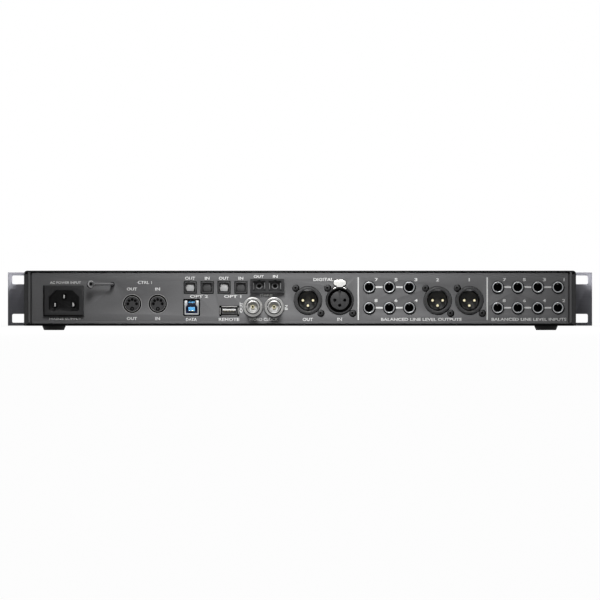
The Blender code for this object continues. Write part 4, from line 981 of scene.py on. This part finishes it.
def mains_inlet():
    """Housing, face and blades of the inlet, and a black line along the left and lower edges of its flange as
    painted shadow.
    """
    dressed(("mains_inlet",), 0.3, "moulded_black")
    hub = rear_spot("mains_inlet")
    hub.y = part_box("mains_inlet")[0].y
    mouth = [(-11.0, -8.4), (11.0, -8.4), (12.1, -7.3), (12.1, 2.9), (6.6, 8.4), (-6.6, 8.4), (-12.1, 2.9),
             (-12.1, -7.3)]
    face = pierced("mains_face", round_box(31.5, 24.5, 0.5, 3), mouth, -0.4, 0.06)
    fixed(soften(face, 0.2), hub, "moulded_coal")
    # A black line along the flange's left and lower edges: painted shadow.
    edge = [(-16.5, 12.2), (-16.5, -12.5), (15.9, -12.5), (15.9, -11.4), (-15.6, -11.4), (-15.6, 12.2)]
    fixed(soften(plate("mains_edge", edge, -0.4, 0.1), 0.03), hub, "deep_black")
    for end in ("earth", "left", "right"):
        node = f"mains_blade_{end}"
        low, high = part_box(node)
        blade = bar(f"{node}_plated", 1.0, 2.8, 0.25, (low.y - high.y) / MM, 0, 0.15)
        fixed(blade, Vector((middle(node).x, low.y, middle(node).z)), "dull_nickel", (node,))


def bent_rod(name, path, z, radius):
    """A round rod along points (x, y), in metres, at one height."""
    deselect()
    bpy.ops.curve.primitive_nurbs_path_add()
    rod = bpy.context.object
    rod.data.splines.clear()
    line = rod.data.splines.new("POLY")
    line.points.add(len(path) - 1)
    for point, (x, y) in zip(line.points, path):
        point.co = (x, y, z, 1)
    rod.data.dimensions = "3D"
    rod.data.bevel_depth = radius
    rod.data.bevel_resolution = 5
    rod.data.use_fill_caps = True
    bpy.ops.object.convert(target="MESH")
    rod.name = rod.data.name = name
    bpy.ops.object.mode_set(mode="EDIT")
    close_mesh()
    return rod


def cord_hook():
    """Bent rod with a collar at its foot and a cap on its tip, with a black disc as painted shade in the cap's
    hollow, a black crescent as painted shadow and a pale crescent as a painted highlight on the cap.
    """
    low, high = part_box("cord_hook")
    z, bend = middle("cord_hook").z, 0.0030
    foot_x, tip_x, run_y = high.x - 0.0030, low.x + 0.0025, rear_y - 0.0095
    path = [(foot_x, rear_y + 0.003), (foot_x, run_y + bend)]
    path += arc(foot_x - bend, run_y + bend, bend, 0, -90, 8)[1:]
    path += arc(tip_x + bend, run_y - bend, bend, 90, 180, 8)
    path.append((tip_x, low.y + 0.0006))
    rod = bent_rod("cord_hook_rod", path, z, 0.0011)
    fixed(rod, (0, 0, 0), "satin_grey", ("cord_hook",), face="")
    tip = (tip_x, low.y, z)
    cap = turned("cord_hook_cap", [
        (0, -0.5), (1.45, -0.5), (1.65, -0.1), (2.2, 0), (2.75, -0.25), (3.0, -0.8), (3.0, -4.2), (2.6, -4.8),
        (0, -4.8)], 40)
    fixed(cap, tip, "satin_grey")
    # A black disc in the cap's hollow: painted shade.
    void = soften(plate("cord_hook_void", disc(1.1, 24, 0.25, 0.0), -0.7, -0.3), 0.05)
    fixed(void, tip, "deep_black")
    # A black crescent round the left and lower side of the cap: painted shadow.
    shade = arc(0, -0.2, 3.1, 130, 300, 18) + arc(0.4, 0, 2.65, 300, 130, 18)
    fixed(soften(plate("cord_hook_shade", shade, -1.2, -0.15), 0.05), tip, "deep_black")
    # A pale crescent on the cap's edge: painted highlight.
    glint = arc(0.4, 0, 2.7, 60, 300, 18) + arc(0.65, 0, 2.1, 300, 60, 18)
    fixed(soften(plate("cord_hook_edge", glint, -0.5, 0.1), 0.06), tip, "moulded_pale")
    collar = ring("cord_hook_collar", [(1.0, 0.05), (1.9, 0.05), (1.9, 0.5), (1.6, 0.9), (1.0, 1.0)], 40)
    fixed(collar, (foot_x, rear_y, z), "powder_black")


class RACK_OT_mains(bpy.types.Operator):
    """Mains inlet with its blades, and the cord hook"""

    bl_idname = "rack.mains"
    bl_label = "Mains inlet"

    def execute(self, context):
        mains_inlet()
        cord_hook()
        return {"FINISHED"}


class RACK_OT_feet(bpy.types.Operator):
    """Moulded rubber feet with their screws"""

    bl_idname = "rack.feet"
    bl_label = "Feet"

    def execute(self, context):
        rise = base_z / MM
        nodes = [f"foot_{row}_{hand}" for row in ("rear", "front") for hand in ("left", "right")]
        spots = [(node, Vector((middle(node).x, middle(node).y, 0))) for node in nodes]
        foot = turned("foot", [
            (0, -rise + 0.02), (9.2, -rise + 0.02), (9.35, -rise + 0.3), (8.25, -0.4), (7.9, -0.05), (7.4, 0),
            (4.2, 0), (3.8, -0.2), (3.6, -0.5), (3.5, -1.6), (0, -1.6)], 56)
        set_out(foot, [(f"{node}_moulded", at, node) for node, at in spots], "soft_rubber", "under")
        screw = shift(screw_head(5.6, 1.0), out=-1.6)
        set_out(screw, [(f"{node}_screw", at) for node, at in spots], "plated_nickel", "under")
        return {"FINISHED"}


def knobs_and_button():
    """Encoder knobs with their lines, and the power button in its ring."""
    knob = turned("knob", [
        (0, 0.6), (7.6, 0.6), (8.0, 1.0), (8.0, 2.0), (7.75, 2.4), (7.45, 11.2), (7.0, 11.8), (6.4, 12.0),
        (5.8, 11.8), (3.0, 11.5), (0, 11.4)], 72)
    line = bar("line", 0.9, 3.6, 0.3, 11.3, 11.95, 0.1, v=4.4)
    for n in (1, 2, 3):
        node = f"encoder_knob_{n}"
        at = front_spot(node)
        settle(twin(knob, f"{node}_grip"), at, "front", f"knob_{n}", "moulded_black", (node,))
        settle(twin(line, f"{node}_line"), at, "front", f"knob_{n}", "print_white")
    drop(knob)
    drop(line)
    at = front_spot("power_button")
    proud = (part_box("power_button")[1].y - front_y) / MM
    cap = turned("power_button_cap", [
        (0, proud - 0.25), (3.2, proud - 0.15), (4.2, proud), (4.7, proud - 0.15), (5.0, proud - 0.6),
        (5.0, -6.0), (0, -6.0)])
    settle(cap, at, "front", "button", "moulded_pale", ("power_button",))
    rim = ring("power_button_ring", [
        (5.3, -0.3), (5.3, 0.25), (5.5, 0.45), (6.0, 0.45), (6.3, 0.2), (6.3, -0.3)])
    fixed(rim, at, "plated_nickel", face="front")


def display():
    """Frame of the display, and level bars on its glass."""
    hub = middle("display_window")
    bezel = pierced("display_bezel", round_box(59.0, 29.0, 2.2, 6), round_box(55.2, 25.2, 1.4, 6),
                    -0.3, 0.55, -2, 2)
    fixed(soften(bezel, 0.25), (hub.x, front_y, hub.z), "moulded_black", face="front")
    bars = []
    for k in range(18):
        tall = 4.0 + 9.0 * abs(math.sin(0.9 * k + 0.4))
        bars.append(plate("bar", round_box(1.6, tall, 0.3, 2, -25.5 + 3.0 * k, tall / 2 - 9.0), 0, 0.03))
    glass_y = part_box("display_window")[1].y
    fixed(weld("display_bars", *bars), (hub.x, glass_y, hub.z), "moulded_sky", face="front")


def front_sockets():
    """Rims, bushings, sleeves and tabs of the combined inputs, and the bushing of the headphone jack."""
    spots = [(node, front_spot(node)) for node in ("combo_input_1", "combo_input_2")]
    rim = ring("rim", [
        (9.9, -0.3), (9.9, 1.0), (10.2, 1.25), (11.4, 1.25), (11.8, 1.0), (12.0, 0.4), (12.0, -0.3)], 72)
    sleeve = ring("sleeve", [(0.85, 0.6), (0.85, 1.3), (1.0, 1.45), (1.3, 1.45), (1.45, 1.3), (1.45, 0.6)], 24)
    for ending, piece, slot, finish in (
        ("rim", rim, "grey_plastic", "moulded_charcoal"),
        ("bushing", jack_bushing("bushing", 1.0), "nickel", "plated_nickel"),
        ("sleeves", spread(sleeve, "sleeves", (0, -6.6), (-6.4, -1.0), (6.4, -1.0)),
         "grey_plastic", "moulded_slate"),
        ("tab", bar("tab", 6.0, 2.2, 0.8, 0.4, 1.8, 0.25, v=8.2, steps=4), "nickel", "plated_nickel"),
    ):
        set_out(piece, [(f"{node}_{ending}", at) for node, at in spots], finish, "front")
    fixed(jack_bushing("phones_jack_bushing", 0.2), front_spot("phones_jack"), "plated_nickel",
          face="front")


class RACK_OT_front_controls(bpy.types.Operator):
    """Knobs, button, display frame and sockets on the control side"""

    bl_idname = "rack.front_controls"
    bl_label = "Front controls"

    def execute(self, context):
        knobs_and_button()
        display()
        front_sockets()
        return {"FINISHED"}


def word(text, u, v, width, height, quarters=0):
    """A word as a thin mesh of this width and height, in millimetres, with its middle at u, v."""
    deselect()
    bpy.ops.object.text_add()
    letters = bpy.context.object
    letters.data.body = text
    letters.data.resolution_u = 3
    letters.data.offset = 0.026
    letters.data.extrude = 0.02
    bpy.ops.object.convert(target="MESH")
    letters = bpy.context.object
    bpy.ops.object.origin_set(type="ORIGIN_GEOMETRY", center="BOUNDS")
    wide, tall, thick = letters.dimensions
    letters.scale = (width * MM / wide, height * MM / tall, sizes().print_rise / thick)
    return apply_turn(letters, (0, 0, QUARTER * quarters), (u * MM, v * MM, sizes().print_rise / 2))


# text, middle across and up from the panel's middle, width and height in millimetres, and quarter turns
REAR_WORDS = (
    ("AC POWER INPUT", -187.0, 12.45, 24.8, 2.0),
    ("MAINS SUPPLY", -187.0, -16.5, 26.0, 1.7),
    ("CTRL 1", -123.7, 12.5, 11.3, 2.3),
    ("OUT", -134.0, 7.3, 8.2, 2.4),
    ("IN", -113.5, 7.3, 3.8, 2.4),
    ("OUT", -134.0, -16.2, 8.2, 2.4),
    ("IN", -113.5, -16.2, 3.8, 2.4),
    ("OUT", -87.6, 15.9, 8.1, 2.4),
    ("IN", -74.0, 15.9, 3.8, 2.4),
    ("OUT", -60.7, 15.9, 8.1, 2.4),
    ("IN", -47.1, 15.9, 3.8, 2.4),
    ("OPT 2", -80.5, 1.4, 14.5, 2.3),
    ("OPT 1", -53.7, 1.4, 13.8, 2.3),
    ("DATA", -86.6, -16.9, 8.7, 2.4),
    ("REMOTE", -56.6, -16.9, 16.4, 2.4),
    ("OUT", -32.9, 17.3, 8.1, 2.3),
    ("IN", -19.7, 17.3, 3.8, 2.3),
    ("FIBRE", -26.8, 2.4, 10.1, 1.7),
    ("OUT", -46.9, -7.4, 8.1, 2.3, 1),
    ("IN", -10.9, -7.4, 3.8, 2.3, 1),
    ("WORD CLOCK", -29.2, -16.9, 23.4, 2.4),
    ("DIGITAL", 18.7, 14.9, 16.0, 2.5),
    ("OUT", 6.2, -16.9, 8.2, 2.5),
    ("IN", 31.6, -16.9, 3.8, 2.5),
    ("BALANCED LINE LEVEL OUTPUTS", 96.7, -16.9, 64.3, 2.4),
    ("BALANCED LINE LEVEL INPUTS", 182.5, -16.9, 59.7, 2.4),
)
REAR_NUMBERS = (
    ("7", 60.9, 14.8), ("5", 76.5, 14.8), ("3", 92.4, 14.8),
    ("8", 60.6, -1.8), ("6", 76.5, -1.8), ("4", 92.6, -1.8),
    ("2", 109.6, 14.7), ("1", 134.9, 14.7),
    ("7", 163.1, 14.8), ("5", 178.9, 14.8), ("3", 194.8, 14.8), ("1", 210.5, 14.8),
    ("8", 162.8, -1.9), ("6", 178.9, -1.9), ("4", 194.8, -1.9), ("2", 210.2, -1.9),
)
# text, middle across and width: all at one height
FRONT_WORDS = (
    ("IN 1", -185.0, 6.0), ("IN 2", -153.0, 6.0), ("PHONES", -120.0, 14.0), ("LEVEL 1", 56.0, 12.0),
    ("LEVEL 2", 82.0, 12.0), ("MAIN", 108.0, 9.0), ("POWER", 185.0, 11.0),
)


class RACK_OT_lettering(bpy.types.Operator):
    """Plain words, numbers, dividers and link lines printed on the panels"""

    bl_idname = "rack.lettering"
    bl_label = "Lettering"

    def execute(self, context):
        rise, pitch = sizes().print_rise / MM, 16.0
        lines = [plate("line", round_box(1.0, 34.1, 0.2, 2, u, -0.4), 0, rise) for u in (46.45, 149.2)]
        jacks = sorted({(round(at.x / MM, 2), round((at.z - mid_z) / MM, 2)) for _, at in jack_spots()})
        for u, v in jacks:
            if any(abs(other - u - pitch) < 0.5 and abs(up - v) < 0.1 for other, up in jacks):
                lines.append(plate("line", round_box(5.5, 1.35, 0.1, 2, u + pitch / 2, v), 0, rise))
        for name, marks, face, y in (
            ("rear_words", [word(*row) for row in REAR_WORDS], "rear", rear_y - 0.00002),
            ("rear_numbers", [word(t, u, v, 0.9 if t == "1" else 2.5, 2.5) for t, u, v in REAR_NUMBERS],
             "rear", rear_y - 0.00002),
            ("rear_lines", lines, "rear", rear_y - 0.00002),
            ("front_words", [word(t, u, -17.0, wide, 2.2) for t, u, wide in FRONT_WORDS],
             "front", front_y + 0.00002),
        ):
            fixed(weld(name, *marks), (0, y, mid_z), "print_white", face=face)
        return {"FINISHED"}


def aimed(at, target):
    """The turn that points a lamp or camera from one point to another."""
    return (Vector(target) - Vector(at)).to_track_quat("-Z", "Y").to_euler()


def lamp(name, at, target, power, size, spread=math.pi):
    """A square lamp aimed at a point."""
    deselect()
    bpy.ops.object.light_add(type="AREA", location=at, rotation=aimed(at, target))
    light = bpy.context.object
    light.name = light.data.name = name
    light.data.energy = power
    light.data.size = size
    light.data.spread = spread
    return light


class RACK_OT_stage(bpy.types.Operator):
    """Floor, lamps, world and camera"""

    bl_idname = "rack.stage"
    bl_label = "Stage"

    def execute(self, context):
        s = studio()
        scene = context.scene
        scene.view_settings.view_transform = "Standard"
        deselect()
        eye = (0, rear_y - s.distance, s.eye)
        bpy.ops.object.camera_add(location=eye, rotation=aimed(eye, (0, rear_y, s.aim)))
        camera = bpy.context.object
        camera.name = "photo_camera"
        camera.data.lens = s.lens
        camera.data.sensor_width = 36.0
        camera.data.clip_end = 100.0
        scene.camera = camera

        deselect()
        bpy.ops.mesh.primitive_plane_add(size=40.0, location=(0, 0, 0))
        floor = bpy.context.object
        floor.name = "floor"
        floor.data.materials.append(floor_finish())

        world = bpy.data.worlds.new("studio")
        scene.world = world
        world.use_nodes = True
        shown_white(world.node_tree, world.node_tree.nodes["Background"], s.ambient)
        lamp("key_lamp", (-0.05, rear_y - 0.55, 0.45), (0.002, rear_y, mid_z + 0.009), s.key, 0.24,
             math.radians(41))
        lamp("overhead_lamp", (0.0, -0.2, 2.2), (0, 0, 0), s.overhead, 2.0)
        for name, side in (("left", -1), ("right", 1)):
            ear = (side * (side_x + 0.016), front_y, mid_z + 0.010)
            lamp(f"ear_lamp_{name}", (0.0, -0.06, 0.20), ear, s.ears, 0.20, math.radians(30))
        lamp("control_lamp", (0.6, 2.0, 1.2), (0, front_y, mid_z), s.fill, 1.2)
        return {"FINISHED"}


def seen(tree):
    """1 where the camera, a reflection or glass sees a surface, and 0 for light that it sends elsewhere."""
    path = tree.nodes.new("ShaderNodeLightPath")
    level = path.outputs["Is Camera Ray"]
    for ray in ("Is Glossy Ray", "Is Transmission Ray"):
        either = tree.nodes.new("ShaderNodeMath")
        either.operation = "MAXIMUM"
        tree.links.new(level, either.inputs[0])
        tree.links.new(path.outputs[ray], either.inputs[1])
        level = either.outputs[0]
    return level


def shown_white(tree, background, ambient):
    """White where the world is seen, and an even light for the rest."""
    level = tree.nodes.new("ShaderNodeMapRange")
    level.inputs["To Min"].default_value = ambient
    level.inputs["To Max"].default_value = 1.0
    tree.links.new(seen(tree), level.inputs["Value"])
    tree.links.new(level.outputs["Result"], background.inputs["Strength"])
    background.inputs["Color"].default_value = (1, 1, 1, 1)


def floor_finish():
    """Pale floor that shows white where the lamps reach it and keeps the object's shadow."""
    made = bpy.data.materials.new("pale_floor")
    made.use_nodes = True
    tree = made.node_tree
    shader = tree.nodes["Principled BSDF"]
    shader.inputs["Base Color"].default_value = (0.14, 0.14, 0.14, 1)
    shader.inputs["Roughness"].default_value = 0.9
    shader.inputs["Specular IOR Level"].default_value = 0.0
    glow = tree.nodes.new("ShaderNodeMath")
    glow.operation = "MULTIPLY"
    glow.inputs[1].default_value = 0.96
    tree.links.new(seen(tree), glow.inputs[0])
    shader.inputs["Emission Color"].default_value = (1, 1, 1, 1)
    tree.links.new(glow.outputs[0], shader.inputs["Emission Strength"])
    return made


STEPS = (
    RACK_OT_stage,
    RACK_OT_finishes,
    RACK_OT_sheet_metal,
    RACK_OT_round_connectors,
    RACK_OT_jacks,
    RACK_OT_clock_jacks,
    RACK_OT_din_sockets,
    RACK_OT_optical_ports,
    RACK_OT_data_ports,
    RACK_OT_fibre_socket,
    RACK_OT_mains,
    RACK_OT_feet,
    RACK_OT_screws,
    RACK_OT_front_controls,
    RACK_OT_lettering,
)


class RACK_PT_dressing(bpy.types.Panel):
    """The steps that dress the interface, in order"""

    bl_idname = "RACK_PT_dressing"
    bl_label = "Rack interface"
    bl_space_type = "VIEW_3D"
    bl_region_type = "UI"
    bl_category = "Rack"

    def draw(self, context):
        for step in STEPS:
            self.layout.operator(step.bl_idname)
        for group in (finishes(), sizes(), studio()):
            box = self.layout.box()
            for key in group.bl_rna.properties.keys():
                if key not in ("rna_type", "name"):
                    box.prop(group, key)


GROUPS = (RackFinishes, RackSizes, RackStage)


def register():
    for each in (*GROUPS, *STEPS, RACK_PT_dressing):
        bpy.utils.register_class(each)
    bpy.types.Scene.rack_finishes = PointerProperty(type=RackFinishes)
    bpy.types.Scene.rack_sizes = PointerProperty(type=RackSizes)
    bpy.types.Scene.rack_stage = PointerProperty(type=RackStage)


def unregister():
    del bpy.types.Scene.rack_finishes
    del bpy.types.Scene.rack_sizes
    del bpy.types.Scene.rack_stage
    for each in reversed((*GROUPS, *STEPS, RACK_PT_dressing)):
        bpy.utils.unregister_class(each)


def main():
    register()
    for step in STEPS:
        group, name = step.bl_idname.split(".")
        getattr(getattr(bpy.ops, group), name)()
    deselect()


if __name__ == "__main__":
    main()
